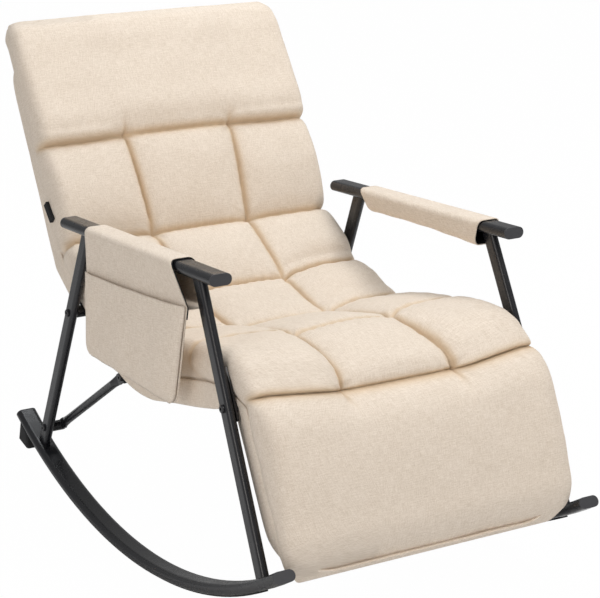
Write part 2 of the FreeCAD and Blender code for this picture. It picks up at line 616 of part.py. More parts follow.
def pad_section(base, cut):
    """Six-edged outline: a flat deck, two bulging sides, and three crowns with a valley at each column."""
    lean = math.radians(cut.lean)
    up = V(0, math.cos(lean), math.sin(lean))
    shoulder, foot = cut.half - SHOULDER_IN, cut.half - FOOT_IN
    side_mid, outer_mid = (cut.deck + cut.edge) / 2, (shoulder + COLUMN_X) / 2
    outer_crown = max((cut.edge + cut.valley) / 2 + 3, cut.crown - 3)

    def arc(*points):
        return Part.Arc(*(base + AXIS_X * x + up * height for x, height in points)).toShape()
    deck = [base + AXIS_X * x + up * cut.deck for x in (-foot, foot)]
    return Part.Wire([
        Part.LineSegment(*deck).toShape(),
        arc((foot, cut.deck), (cut.half, side_mid), (shoulder, cut.edge)),
        arc((shoulder, cut.edge), (outer_mid, outer_crown), (COLUMN_X, cut.valley)),
        arc((COLUMN_X, cut.valley), (0, cut.crown), (-COLUMN_X, cut.valley)),
        arc((-COLUMN_X, cut.valley), (-outer_mid, outer_crown), (-shoulder, cut.edge)),
        arc((-shoulder, cut.edge), (-cut.half, side_mid), (-foot, cut.deck)),
    ])


def pad(cuts, base_of):
    return Part.makeLoft([pad_section(base_of(cut), cut) for cut in cuts], True, True)


def back_cushion():
    cuts = [SEAM_B_BACK] + row(SEAM_B_BACK, SEAM_A, 286) + [SEAM_A] + HEAD_CUTS
    return pad(cuts, lambda cut: V(0, *along(BACK_HINGE, BACK_TOP, cut.at)))


def seat_cushion():
    cuts = [SEAT_FRONT, SEAT_SWELL, SEAM_D] + row(SEAM_D, SEAM_D2, 281)
    cuts += [SEAM_D2] + row(SEAM_D2, SEAM_C, 281) + [SEAM_C] + row(SEAM_C, SEAM_B_SEAT, 279.5) + [SEAM_B_SEAT]
    return pad(cuts, lambda cut: rail_point(cut.at))


def knee_cushion():
    """The fold over the knee: a fan of cuts round the leg-rest hinge."""
    hinge = V(0, *LEG_HINGE)
    return pad([between(SEAT_FRONT, SEAM_E, share) for share in KNEE_TURNS], lambda cut: hinge)


def leg_cushion():
    return pad([SEAM_E] + LEG_CUTS, lambda cut: V(0, *along(LEG_HINGE, LEG_END, cut.at)))


def side_tag(cushion):
    """A small bare tag on the side edge of the back."""
    left = V(0, TAG_REAR[0] - TAG_FRONT[0], TAG_REAR[1] - TAG_FRONT[1]).normalize().cross(AXIS_X)
    half = left * (TAG_WIDTH / 2)
    outer_x = -SEAM_A.half - TAG_THICK
    a, b = V(outer_x, *TAG_FRONT), V(outer_x, *TAG_REAR)
    outline = Part.makePolygon([a - half, b - half, b + half, a + half, a - half])
    blank = Part.Face(outline).extrude(AXIS_X * 2 * TAG_THICK)
    return min(blank.cut(cushion).Solids, key=lambda solid: solid.CenterOfMass.x)


# Cloth over the armrests

def arm_height(y):
    return ARM_FRONT[1] + (ARM_REAR[1] - ARM_FRONT[1]) * (y - ARM_FRONT[0]) / (ARM_REAR[0] - ARM_FRONT[0])


def rounded_bar(x_from, x_to, low, high, length, radius):
    bar = Part.makeBox(x_to - x_from, length, high - low, V(x_from, -length / 2, low))
    return bar.makeFillet(radius, [e for e in bar.Edges if abs(e.tangentAt(e.FirstParameter).y) > 0.9])


def sleeve_loop(side, drop):
    """A long loop of cloth round the armrest."""
    length = math.dist(ARM_FRONT, ARM_REAR)
    xs = sorted((side * (ARM_X + SLEEVE_OUT), side * (ARM_X - SLEEVE_IN)))
    inner = rounded_bar(xs[0], xs[1], -drop, SLEEVE_TOP, length, SLEEVE_ROUND)
    outer = rounded_bar(xs[0] - CLOTH, xs[1] + CLOTH, -drop - CLOTH, SLEEVE_TOP + CLOTH, length,
                        SLEEVE_ROUND + CLOTH)
    loop = outer.cut(inner)
    slope = math.degrees(math.atan2(ARM_REAR[1] - ARM_FRONT[1], ARM_REAR[0] - ARM_FRONT[0]))
    loop.Placement = FreeCAD.Placement(V(0, 0, arm_height(0)), FreeCAD.Rotation(AXIS_X, slope))
    return loop


def pocket_sleeve():
    """The loop round the right armrest, and the panel that hangs from its outer side."""
    top = ARM_FRONT[1] + ARM_THICK
    low_side = [SLEEVE_FRONT_LOW, (PANEL_FRONT_Y, PANEL_BOTTOM_Z), (PANEL_REAR_Y, PANEL_BOTTOM_Z)]
    side_view = [(SLEEVE_FRONT_Y, top)] + low_side
    side_view += [(SLEEVE_REAR_Y, arm_height(SLEEVE_REAR_Y)), (SLEEVE_REAR_Y, top)]
    outline = plate(-ARM_X - ARM_WIDTH, -ARM_X + ARM_WIDTH, side_view)
    low = [e for e in outline.Edges if abs(e.tangentAt(e.FirstParameter).x) > 0.9
           and abs(e.CenterOfMass.z - PANEL_BOTTOM_Z) < 1]
    outline = outline.makeFillet(PANEL_CORNER_R, low)
    outer_x = -ARM_X - SLEEVE_OUT - CLOTH
    upper = [(y, arm_height(y) - SLEEVE_ROUND / 2) for y in (SLEEVE_REAR_Y, SLEEVE_FRONT_Y)]
    sheet = plate(outer_x, outer_x + CLOTH, low_side + upper)
    return largest(sleeve_loop(-1, RIGHT_SLEEVE_DROP).fuse(sheet).common(outline).removeSplitter())


def pouch_outline(x, inset, corner, lift):
    """The pouch's outline in the side view, drawn in at its sides and bottom but not at its mouth."""
    front_y = crossing((PANEL_FRONT_Y, PANEL_BOTTOM_Z), SLEEVE_FRONT_LOW, (0, POUCH_FRONT_Z), (1, POUCH_FRONT_Z))[0]
    points = [(front_y, POUCH_FRONT_Z + lift), (PANEL_FRONT_Y, PANEL_BOTTOM_Z),
              (PANEL_REAR_Y, PANEL_BOTTOM_Z), (PANEL_REAR_Y, POUCH_REAR_Z + lift)]
    pieces = bent_line(points, [corner + inset] * 2, inset)
    return Part.Wire(edges_at(x, pieces + [(pieces[-1][2], None, pieces[0][0])]))


def pocket_pouch():
    """A patch pouch on the outer panel: open at the top and hollow, and closed behind by the panel."""
    x, inner_corner, over_mouth = -ARM_X - SLEEVE_OUT - CLOTH, PANEL_CORNER_R - CLOTH, 15.0
    outer = [pouch_outline(x, 0, PANEL_CORNER_R, 0),
             pouch_outline(x - POUCH_DEPTH, POUCH_SLOPE, PANEL_CORNER_R, 0)]
    inner = [pouch_outline(x, 2 * CLOTH, inner_corner, over_mouth),
             pouch_outline(x - POUCH_DEPTH + CLOTH, POUCH_SLOPE + CLOTH, inner_corner, over_mouth)]
    return largest(Part.makeLoft(outer, True, True).cut(Part.makeLoft(inner, True, True)))


def arm_sleeve_left():
    high, low = ARM_FRONT[1] + ARM_THICK, arm_height(0) - LEFT_SLEEVE_DROP - ARM_THICK
    side_view = [(LEFT_SLEEVE_FRONT_Y + 8, high), (LEFT_SLEEVE_FRONT_Y - 10, low),
                 (LEFT_SLEEVE_REAR_Y - 6, low), (LEFT_SLEEVE_REAR_Y, high)]
    trim = plate(ARM_X - ARM_WIDTH, ARM_X + ARM_WIDTH, side_view)
    return largest(sleeve_loop(1, LEFT_SLEEVE_DROP).common(trim))


def build_side(name, side, rail_full):
    """Everything fixed on one side; gives the small fittings, which are saved as groups."""
    arm, arm_full = armrest(side)
    run, run_full = runner(side)
    front, rear = Leg(side, FRONT_LEG_TOP, FRONT_LEG_FOOT), Leg(side, REAR_LEG_TOP, REAR_LEG_FOOT)
    low = crossing(REAR_LEG_TOP, REAR_LEG_FOOT, (0, BRACE_BOLT_Z), (1, BRACE_BOLT_Z))
    front_tube, front_full = front.tube([arm_full, run_full], [LEG_HINGE[1]])
    rear_tube, rear_full = rear.tube([arm_full, run_full], [REAR_BOSS[1], BRACE_BOLT_Z])
    plate_solid = hinge_plate(front)
    bosses = [front_boss(side, front, plate_solid, front_full), rear_boss(side, rear, rail_full, rear_full)]
    save("armrest_" + name, [arm])
    save("runner_" + name, [run])
    save("front_leg_" + name, [front_tube])
    save("rear_leg_" + name, [rear_tube])
    save("armrest_caps_" + name, arm_caps(side))
    save("runner_caps_" + name, runner_caps(side))
    save("anti_slip_strip_" + name, [anti_slip_strip(side)])
    save("rear_stop_" + name, [stop_block(side, run_full)])
    save("hinge_plate_" + name, [plate_solid])
    save("mount_bosses_" + name, bosses)
    save("brace_" + name, [brace(side, low, rear)])
    save("brace_spacer_" + name, [brace_spacer(side, low, rear, rear_full)])
    out, outwards = LEG_THICK / 2, V(side, 0, 0)
    brace_face, tab_face = BRACE_X + BRACE_FLAT / 2, BRACE_X - BRACE_FLAT / 2 - TAB_THICK
    return {
        "frame_bolts": [bolt(front.face(LEG_HINGE[1], out), front.out, FRONT_BOLT),
                        bolt(rear.face(REAR_BOSS[1], out), rear.out, REAR_BOLT)],
        "brace_lower_bolts": [bolt(rear.face(BRACE_BOLT_Z, out), rear.out, BRACE_BOLT)],
        "brace_upper_bolts": [bolt(V(side * brace_face, *BRACE_TOP), outwards, TAB_BOLT)],
        "brace_nuts": [nut(rear.face(BRACE_BOLT_Z, out - BRACE_BOLT + BOLT_END), rear.out),
                       nut(V(side * (tab_face - NUT_THICK), *BRACE_TOP), outwards)],
        "brace_tabs": [brace_tab(side, rail_full)],
    }


def build_hinges():
    for place, hinge, rail, moving in (("back", BACK_HINGE, REAR_BEND, BACK_TOP),
                                       ("leg", LEG_HINGE, LOW_BEND, LEG_END)):
        for name, side in SIDES:
            save(f"{place}_hinge_fork_{name}", [hinge_fork(side, hinge, rail)])
            save(f"{place}_hinge_tongue_{name}", [hinge_tongue(side, hinge, moving)])
        save(f"{place}_hinge_rivets", [rivet(side, hinge) for _, side in SIDES])


def build_pad():
    seat_line = trimmed_rail_line(SLING_START)
    save("seat_sling", [band_along(seat_line, RAIL_RADII, SLING_LOW, SLING_LOW + SLING_THICK,
                                   -PAD_TUBE_X, PAD_TUBE_X)])
    for place, hinge, end in (("back", BACK_HINGE, BACK_TOP), ("leg", LEG_HINGE, LEG_END)):
        save(place + "_frame", [u_tube(hinge, end)])
        save(place + "_sling", [sling(hinge, end)])
        save(place + "_skirt", [skirt(hinge, end)])
    save("seat_skirts", seat_skirts(-1) + seat_skirts(1))
    cushion = back_cushion()
    save("back_cushion", [cushion])
    save("seat_cushion", [seat_cushion()])
    save("knee_cushion", [knee_cushion()])
    save("leg_cushion", [leg_cushion()])
    save("side_tag", [side_tag(cushion)])


def main():
    os.makedirs("parts", exist_ok=True)
    rails = {name: seat_rail(side) for name, side in SIDES}
    groups = {}
    for name, side in SIDES:
        save("seat_rail_" + name, [rails[name][0]])
        for group, solids in build_side(name, side, rails[name][1]).items():
            groups.setdefault(group, []).extend(solids)
    for group, solids in groups.items():
        save(group, solids)
    fulls = [full for _, full in rails.values()]
    save("front_cross_tube", [cross_tube(FRONT_CROSS, fulls)])
    save("rear_cross_tube", [cross_tube(REAR_BOSS, fulls)])
    build_hinges()
    build_pad()
    save("pocket_sleeve", [pocket_sleeve()])
    save("pocket_pouch", [pocket_pouch()])
    save("arm_sleeve_left", [arm_sleeve_left()])


main()
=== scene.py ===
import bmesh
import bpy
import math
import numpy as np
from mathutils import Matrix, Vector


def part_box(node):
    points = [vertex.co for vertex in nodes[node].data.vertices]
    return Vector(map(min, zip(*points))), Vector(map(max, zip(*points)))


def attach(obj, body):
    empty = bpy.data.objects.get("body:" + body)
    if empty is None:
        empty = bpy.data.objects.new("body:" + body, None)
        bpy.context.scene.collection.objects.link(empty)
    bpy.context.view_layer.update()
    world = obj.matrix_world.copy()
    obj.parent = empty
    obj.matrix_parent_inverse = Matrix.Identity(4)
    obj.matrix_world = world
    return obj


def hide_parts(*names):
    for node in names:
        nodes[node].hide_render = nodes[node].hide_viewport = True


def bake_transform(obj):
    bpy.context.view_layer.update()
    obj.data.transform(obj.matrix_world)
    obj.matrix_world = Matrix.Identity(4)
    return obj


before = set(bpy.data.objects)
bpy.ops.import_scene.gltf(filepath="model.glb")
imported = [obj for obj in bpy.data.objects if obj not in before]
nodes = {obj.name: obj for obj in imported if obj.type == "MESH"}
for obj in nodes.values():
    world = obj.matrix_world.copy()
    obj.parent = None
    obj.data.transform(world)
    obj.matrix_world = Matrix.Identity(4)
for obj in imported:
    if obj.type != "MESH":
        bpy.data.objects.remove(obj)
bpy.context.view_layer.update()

# %% [markdown]
# # Reclining rocking chair
# The frame comes from CAD as finished pieces of metal, plastic and rubber. This lesson gives them their
# looks and makes the soft goods: one tufted pad, the cloth band under its edge, three slings and two
# armrest sleeves.
# The chair's lengths are written in millimetres and turned into metres when a mesh is made. Lamps, floor
# and material sizes are in metres.

# %% [markdown]
# ## Tools
# Soft goods follow formulas, so numpy makes their points. Bpy.ops work on what is selected, and the
# loaded frame arrives selected, so everything is deselected first.

MM = 0.001
random = np.random.default_rng(7)


def deselect():
    bpy.ops.object.select_all(action="DESELECT")


def use(piece):
    """Select one piece and make it active, as an operator expects."""
    deselect()
    piece.select_set(True)
    bpy.context.view_layer.objects.active = piece
    return piece


def apply_modifiers(piece):
    use(piece)
    for modifier in list(piece.modifiers):
        bpy.ops.object.modifier_apply(modifier=modifier.name)
    return piece


deselect()

# %% [markdown]
# ## Camera
# The picture was taken with a long lens from the front right of the chair, a little above the seat.
# A small shift puts the lens axis where it was in the picture.

# %% Camera
AZIMUTH, ELEVATION = math.radians(-30.689), math.radians(16.448)
back_of_camera = Vector((math.sin(AZIMUTH) * math.cos(ELEVATION), -math.cos(AZIMUTH) * math.cos(ELEVATION),
                         math.sin(ELEVATION)))
lens = bpy.data.cameras.new("camera")
lens.lens, lens.sensor_width, lens.sensor_fit = 122.44, 36.0, "HORIZONTAL"
lens.shift_x, lens.shift_y = 0.0123, -0.0027
lens.clip_end = 50
camera = bpy.data.objects.new("camera", lens)
bpy.context.scene.collection.objects.link(camera)
camera.location = Vector((-1777.9, -3045.96, 1480.4)) * MM
camera.rotation_euler = (-back_of_camera).to_track_quat("-Z", "Y").to_euler()
bpy.context.scene.camera = camera

# %% [markdown]
# ## Studio
# A white sweep and broad soft lamps show the folds of the cloth without hard shadows. The picture is cut
# out on white, so what the camera sees of the floor and the air is white through Light Path, with only a
# trace of the chair's shadow. The tubes mirror the dimmer air itself, which keeps them dark, and a tall
# lamp at the left brightens their rounded edges.

# %% Studio
WHITE = (1.0, 1.0, 1.0, 1.0)


def new_material(name):
    material = bpy.data.materials.new(name)
    material.use_nodes = True
    return material, material.node_tree.nodes, material.node_tree.links


def see_white(links, tree_nodes, shader, output, floor_share):
    """Mix plain white into what the camera sees of a backdrop."""
    path = tree_nodes.new("ShaderNodeLightPath")
    both = tree_nodes.new("ShaderNodeMath")
    both.operation = "MAXIMUM"
    links.new(path.outputs["Is Camera Ray"], both.inputs[0])
    links.new(path.outputs["Is Transmission Ray"], both.inputs[1])
    share = tree_nodes.new("ShaderNodeMath")
    share.operation = "MULTIPLY"
    links.new(both.outputs[0], share.inputs[0])
    share.inputs[1].default_value = floor_share
    white = tree_nodes.new("ShaderNodeEmission")
    white.inputs["Color"].default_value = WHITE
    mix = tree_nodes.new("ShaderNodeMixShader")
    links.new(share.outputs[0], mix.inputs[0])
    links.new(shader.outputs[0], mix.inputs[1])
    links.new(white.outputs[0], mix.inputs[2])
    links.new(mix.outputs[0], output.inputs["Surface"])


bpy.ops.mesh.primitive_plane_add(size=14, location=(0, 0, 0))
floor = bpy.context.object
floor.name = "studio_floor"
floor_paint, floor_nodes, floor_links = new_material("floor_paper")
floor_shader = floor_nodes["Principled BSDF"]
floor_shader.inputs["Base Color"].default_value = (0.88, 0.88, 0.88, 1)
floor_shader.inputs["Roughness"].default_value = 0.9
FLOOR_WHITE, AIR_WHITE = 0.99, 1.0
see_white(floor_links, floor_nodes, floor_shader, floor_nodes["Material Output"], FLOOR_WHITE)
floor.data.materials.append(floor_paint)

world = bpy.data.worlds.new("studio_air")
bpy.context.scene.world = world
world.use_nodes = True
air = world.node_tree.nodes["Background"]
air.inputs["Color"].default_value = (1.0, 1.0, 1.0, 1)
air.inputs["Strength"].default_value = 0.38
see_white(world.node_tree.links, world.node_tree.nodes, air, world.node_tree.nodes["World Output"], AIR_WHITE)


CHAIR_MIDDLE = Vector((0, 0, 0.45))


def lamp(name, place, size, power, colour=(1.0, 1.0, 1.0)):
    """A rectangular lamp that faces the chair's middle."""
    light = bpy.data.lights.new(name, "AREA")
    light.shape, light.size, light.size_y, light.energy = "RECTANGLE", size[0], size[1], power
    light.color = colour
    piece = bpy.data.objects.new(name, light)
    piece.location = place
    piece.rotation_euler = (CHAIR_MIDDLE - Vector(place)).to_track_quat("-Z", "Y").to_euler()
    bpy.context.scene.collection.objects.link(piece)


lamp("key_lamp", (0.9, -2.0, 3.1), (1.0, 1.0), 48, (1.0, 0.965, 0.93))
lamp("top_lamp", (0.4, 0.7, 3.3), (1.8, 1.8), 44, (0.97, 1.0, 1.03))
lamp("fill_lamp", (-3.0, -1.1, 1.8), (2.0, 2.0), 10, (1.0, 0.93, 0.87))
lamp("streak_lamp", (-2.9, -1.9, 0.95), (0.8, 1.6), 15, (1.0, 0.95, 0.91))
bpy.context.scene.view_settings.view_transform = "Standard"

# %% [markdown]
# ## Shared surface effects
# Cloth, paint and plastic look alike up close in one way: their colour and gloss are never even. Each
# effect is a node group that gives a colour, a roughness and a height, and each material places it
# with its own values. Cloth reads the piece's UV map, which is laid out in metres, so a thread has the
# same size everywhere.

# %% Node group helper


class Group:
    """A shader node group with named sockets, and short ways to add nodes in it."""

    def __init__(self, name, inputs, outputs):
        self.tree = bpy.data.node_groups.new(name, "ShaderNodeTree")
        for label, value in inputs.items():
            kind = "NodeSocketColor" if isinstance(value, tuple) else "NodeSocketFloat"
            socket = self.tree.interface.new_socket(label, in_out="INPUT", socket_type=kind)
            socket.default_value = value
        for label in outputs:
            kind = "NodeSocketColor" if label == "Color" else "NodeSocketFloat"
            self.tree.interface.new_socket(label, in_out="OUTPUT", socket_type=kind)
        self.given = self.tree.nodes.new("NodeGroupInput")
        self.result = self.tree.nodes.new("NodeGroupOutput")

    def node(self, kind, values=(), links=(), **settings):
        made = self.tree.nodes.new(kind)
        for key, value in settings.items():
            setattr(made, key, value)
        for key, value in dict(values).items():
            made.inputs[key].default_value = value
        for key, source in dict(links).items():
            self.tree.links.new(source, made.inputs[key])
        return made

    def math(self, operation, a, b):
        made = self.tree.nodes.new("ShaderNodeMath")
        made.operation = operation
        for slot, value in enumerate((a, b)):
            if isinstance(value, (int, float)):
                made.inputs[slot].default_value = value
            else:
                self.tree.links.new(value, made.inputs[slot])
        return made.outputs[0]

    def noise(self, where, scale, stretch=(1, 1, 1), detail=3.0):
        """Noise of about 1/scale metres; stretch makes streaks."""
        placed = self.node("ShaderNodeMapping", {"Scale": [scale * s for s in stretch]}, {"Vector": where})
        made = self.node("ShaderNodeTexNoise", {"Scale": 1.0, "Detail": detail}, {"Vector": placed.outputs[0]})
        return made.outputs[0]

    def mix(self, share, a, b):
        made = self.node("ShaderNodeMix", data_type="RGBA")
        for slot, value in ((0, share), (6, a), (7, b)):
            if isinstance(value, (int, float, tuple)):
                made.inputs[slot].default_value = value
            else:
                self.tree.links.new(value, made.inputs[slot])
        return made.outputs[2]

    def put(self, **outputs):
        for label, source in outputs.items():
            self.tree.links.new(source, self.result.inputs[label])


# %% [markdown]
# Linen-look cloth: fine warp and weft threads, thick and thin yarn that shows as short streaks both
# ways, and a faint cloudiness. Waves stand for the threads, and stretched noise for the yarn. Along the
# pad's seams an attribute mixes in a darker, warmer tone. This is painted shade and painted bounce light
# in the folds, where light goes from cloth to cloth.

# %% Cloth weave group
weave = Group("linen_weave", {"Base": (0.7, 0.6, 0.5, 1), "Streaks": 1.0, "Threads": 1.0},
              ["Color", "Roughness", "Height"])
THREADS_PER_METRE = 1400.0
cloth_uv = weave.node("ShaderNodeUVMap", uv_map="cloth").outputs[0]
warp = weave.noise(cloth_uv, 150, (3.6, 0.42, 1), 2)
weft = weave.noise(cloth_uv, 150, (0.42, 3.6, 1), 2)
cloud = weave.noise(cloth_uv, 14, (1, 1, 1), 4)
flecks = weave.noise(cloth_uv, 420, (1.4, 1.0, 1), 2)
yarn = weave.math("ADD", weave.math("MULTIPLY", warp, 0.5), weave.math("MULTIPLY", weft, 0.5))
tone = weave.math("ADD", weave.math("MULTIPLY", yarn, 0.62), weave.math("MULTIPLY", flecks, 0.38))
spread = weave.math("MULTIPLY", weave.math("SUBTRACT", tone, 0.5), weave.given.outputs["Streaks"])
shade = weave.math("ADD", weave.math("MULTIPLY", spread, 3.2), 0.5)
cloud_shift = weave.math("MULTIPLY", weave.math("SUBTRACT", cloud, 0.5), 0.35)
shade = weave.math("ADD", shade, cloud_shift)
shade_limit = weave.node("ShaderNodeClamp", links={"Value": shade}).outputs[0]
# Painted shade: where the fold attribute marks the seams, a darker, more saturated tone is mixed in.
fold_shade_share = weave.math("MULTIPLY", weave.node("ShaderNodeAttribute", attribute_name="fold").outputs["Fac"], 0.72)
painted_fold_shade = weave.node("ShaderNodeHueSaturation", {"Value": 0.84, "Saturation": 2.1},
                       {"Color": weave.given.outputs["Base"]}).outputs[0]
light_yarn = weave.node("ShaderNodeHueSaturation", {"Value": 1.09, "Saturation": 0.88},
                        {"Color": weave.given.outputs["Base"]}).outputs[0]
dark_yarn = weave.node("ShaderNodeHueSaturation", {"Value": 0.86, "Saturation": 1.20},
                       {"Color": weave.given.outputs["Base"]}).outputs[0]
cloth_colour = weave.mix(fold_shade_share, weave.mix(shade_limit, dark_yarn, light_yarn), painted_fold_shade)
split_uv = weave.node("ShaderNodeSeparateXYZ", links={"Vector": cloth_uv})
ridges = [weave.math("SINE", weave.math("MULTIPLY", split_uv.outputs[axis], THREADS_PER_METRE * math.pi), 0.0)
          for axis in (0, 1)]
threads = weave.math("MULTIPLY", ridges[0], ridges[1])
threads = weave.math("MULTIPLY", threads, weave.given.outputs["Threads"])
cloth_height = weave.math("ADD", weave.math("MULTIPLY", threads, 0.30), weave.math("MULTIPLY", yarn, 1.4))
cloth_rough = weave.math("ADD", 0.82, weave.math("MULTIPLY", tone, 0.15))
weave.put(Color=cloth_colour, Roughness=cloth_rough, Height=cloth_height)

# %% [markdown]
# Powder coat: paint powder melts into a skin with a fine orange-peel relief and tiny pale specks of
# dust. Moulded plastic and rubber have a finer grain and duller patches where they are touched.

# %% Skin group for paint, plastic and rubber
skin = Group("speckled_skin", {"Base": (0.1, 0.1, 0.1, 1), "Rough": 0.5, "Grain": 900.0, "Specks": 0.3},
             ["Color", "Roughness", "Height"])
skin_place = skin.node("ShaderNodeTexCoord").outputs["Object"]
peel = skin.node("ShaderNodeTexNoise", {"Detail": 2.0},
                 {"Vector": skin_place, "Scale": skin.given.outputs["Grain"]}).outputs[0]
patches = skin.noise(skin_place, 22, (1, 1, 1), 4)
dust = skin.noise(skin_place, 520, (1, 1, 1), 1)
speck = skin.node("ShaderNodeMapRange", {"From Min": 0.66, "From Max": 0.78}, {"Value": dust}).outputs[0]
speck = skin.math("MULTIPLY", speck, skin.given.outputs["Specks"])
pale = skin.node("ShaderNodeHueSaturation", {"Value": 2.3}, {"Color": skin.given.outputs["Base"]}).outputs[0]
worn = skin.node("ShaderNodeHueSaturation", {"Value": 1.22}, {"Color": skin.given.outputs["Base"]}).outputs[0]
patch_share = skin.node("ShaderNodeMapRange", {"From Min": 0.35, "From Max": 0.75}, {"Value": patches}).outputs[0]
skin_colour = skin.mix(speck, skin.mix(patch_share, skin.given.outputs["Base"], worn), pale)
skin_rough = skin.math("ADD", skin.given.outputs["Rough"],
                       skin.math("MULTIPLY", skin.math("SUBTRACT", patches, 0.5), 0.22))
skin.put(Color=skin_colour, Roughness=skin_rough, Height=peel)

# %% [markdown]
# ## Materials
# Each finish is a Principled material fed by one group. Cream linen covers the pad and the sleeves, a
# thin dark cloth makes the slings, charcoal powder coat covers the tubes that show, and the hinges under
# the cover are zinc plated.

# %% Materials


def finish(name, group, values, bump, sheen=0.0, metallic=0.0, specular=0.5):
    """A Principled material fed by one of the groups."""
    material, tree_nodes, links = new_material(name)
    shader = tree_nodes["Principled BSDF"]
    effect = tree_nodes.new("ShaderNodeGroup")
    effect.node_tree = group.tree
    for label, value in values.items():
        effect.inputs[label].default_value = value
    relief = tree_nodes.new("ShaderNodeBump")
    relief.inputs["Strength"].default_value, relief.inputs["Distance"].default_value = bump
    links.new(effect.outputs["Height"], relief.inputs["Height"])
    links.new(effect.outputs["Color"], shader.inputs["Base Color"])
    links.new(effect.outputs["Roughness"], shader.inputs["Roughness"])
    links.new(relief.outputs["Normal"], shader.inputs["Normal"])
    shader.inputs["Metallic"].default_value = metallic
    shader.inputs["Specular IOR Level"].default_value = specular
    if sheen:
        shader.inputs["Sheen Weight"].default_value = sheen
        shader.inputs["Sheen Roughness"].default_value = 0.45
    return material


def cloth_finish(name, base, streaks, bump, **extra):
    return finish(name, weave, {"Base": base, "Streaks": streaks, "Threads": 1.0}, bump, **extra)


def skin_finish(name, base, rough, grain, specks, bump, **extra):
    return finish(name, skin, {"Base": base, "Rough": rough, "Grain": grain, "Specks": specks}, bump, **extra)


CREAM = (0.800, 0.700, 0.592, 1)
pad_cloth = cloth_finish("cream_linen", CREAM, 1.25, (0.7, 0.0006), sheen=0.12, specular=0.25)
pocket_cloth = cloth_finish("cream_linen_flat", CREAM, 1.5, (0.6, 0.0006), sheen=0.10, specular=0.25)
lining_cloth = cloth_finish("black_lining", (0.018, 0.018, 0.02, 1), 0.8, (0.5, 0.0005), specular=0.3)
sling_cloth = cloth_finish("dark_sling_cloth", (0.035, 0.035, 0.038, 1), 1.0, (0.6, 0.0008), specular=0.3)
coat = skin_finish("charcoal_powder_coat", (0.009, 0.0095, 0.012, 1), 0.27, 1100.0, 0.25, (0.10, 0.0004))
hidden_coat = skin_finish("black_powder_coat", (0.012, 0.012, 0.013, 1), 0.42, 1100.0, 0.25, (0.10, 0.0004))
cap_plastic = skin_finish("grey_cap_plastic", (0.036, 0.037, 0.042, 1), 0.5, 2400.0, 0.15, (0.12, 0.0003))
rubber = skin_finish("soft_rubber", (0.02, 0.02, 0.021, 1), 0.78, 1500.0, 0.35, (0.2, 0.0004), specular=0.3)
bolt_black = skin_finish("blackened_bolt_steel", (0.035, 0.035, 0.038, 1), 0.34, 1800.0, 0.1, (0.06, 0.0002),
                         metallic=0.6)
zinc = skin_finish("zinc_plated_steel", (0.42, 0.42, 0.41, 1), 0.36, 1300.0, 0.3, (0.08, 0.0003), metallic=1.0)

FINISHES = {
    coat: ["armrest", "runner", "front_leg", "rear_leg", "brace", "brace_spacer", "mount_bosses"],
    hidden_coat: ["hinge_plate", "seat_rail", "brace_tabs", "front_cross_tube", "rear_cross_tube", "back_frame",
                  "leg_frame"],
    cap_plastic: ["armrest_caps", "runner_caps"],
    rubber: ["anti_slip_strip", "rear_stop"],
    bolt_black: ["frame_bolts", "brace_lower_bolts", "brace_upper_bolts", "brace_nuts"],
    zinc: ["back_hinge_fork", "back_hinge_tongue", "leg_hinge_fork", "leg_hinge_tongue", "back_hinge_rivets",
           "leg_hinge_rivets"],
}
for material, names in FINISHES.items():
    for name in names:
        for node in (name, name + "_right", name + "_left"):
            if node in nodes:
                nodes[node].data.materials.clear()
                nodes[node].data.materials.append(material)
print("finished CAD nodes:", sum(bool(n.data.materials) for n in nodes.values()))

# %% [markdown]
# ## The line that the pad follows
# The pad lies on a bent tube frame: straight on the back and the leg rest, and with two bends under the
# seat. Everything soft is placed from that line: a distance along it, and a height above it. From the
# knee to the head the pad's cuts lean further and further back, as in a folded mattress.

# %% Frame line
BACK_HINGE, BACK_TOP = (350.0, 454.0), (548.0, 826.0)
LEG_HINGE, LEG_END = (-338.2, 384.0), (-466.0, 146.0)
LOW_BEND, LOW_BEND_R = (30.0, 300.0), 250.0
REAR_BEND, REAR_BEND_R = (238.0, 379.0), 120.0
TUBE_X, TUBE_R, FRAME_CORNER = 255.0, 11.0, 70.0


def bent_line(corners, radii):
    """Points along straight runs joined by tangent arcs, and the distance of each from the start."""
    corners = [np.array(c, float) for c in corners]
    line = [corners[0]]
    for before, corner, after, radius in zip(corners, corners[1:], corners[2:], radii):
        into, out = corner - before, after - corner
        into, out = into / np.linalg.norm(into), out / np.linalg.norm(out)
        turn = math.atan2(into[0] * out[1] - into[1] * out[0], into @ out)
        start = corner - into * radius * math.tan(abs(turn) / 2)
        centre = start + math.copysign(radius, turn) * np.array([-into[1], into[0]])
        spoke = start - centre
        for angle in np.linspace(0, turn, 32):
            c, s = math.cos(angle), math.sin(angle)
            line.append(centre + np.array([c * spoke[0] - s * spoke[1], s * spoke[0] + c * spoke[1]]))
    line = np.array(line + [corners[-1]])
    return line, np.concatenate([[0], np.cumsum(np.linalg.norm(np.diff(line, axis=0), axis=1))])


rail, rail_distance = bent_line([LEG_HINGE, LOW_BEND, REAR_BEND, BACK_HINGE], [LOW_BEND_R, REAR_BEND_R])
SEAT_LENGTH = rail_distance[-1]
BACK_LENGTH, LEG_LENGTH = math.dist(BACK_HINGE, BACK_TOP), math.dist(LEG_HINGE, LEG_END)
BACK_WAY = np.subtract(BACK_TOP, BACK_HINGE) / BACK_LENGTH
LEG_WAY = np.subtract(LEG_HINGE, LEG_END) / LEG_LENGTH
print(f"seat line {SEAT_LENGTH:.1f} mm, back {BACK_LENGTH:.1f} mm, leg rest {LEG_LENGTH:.1f} mm")


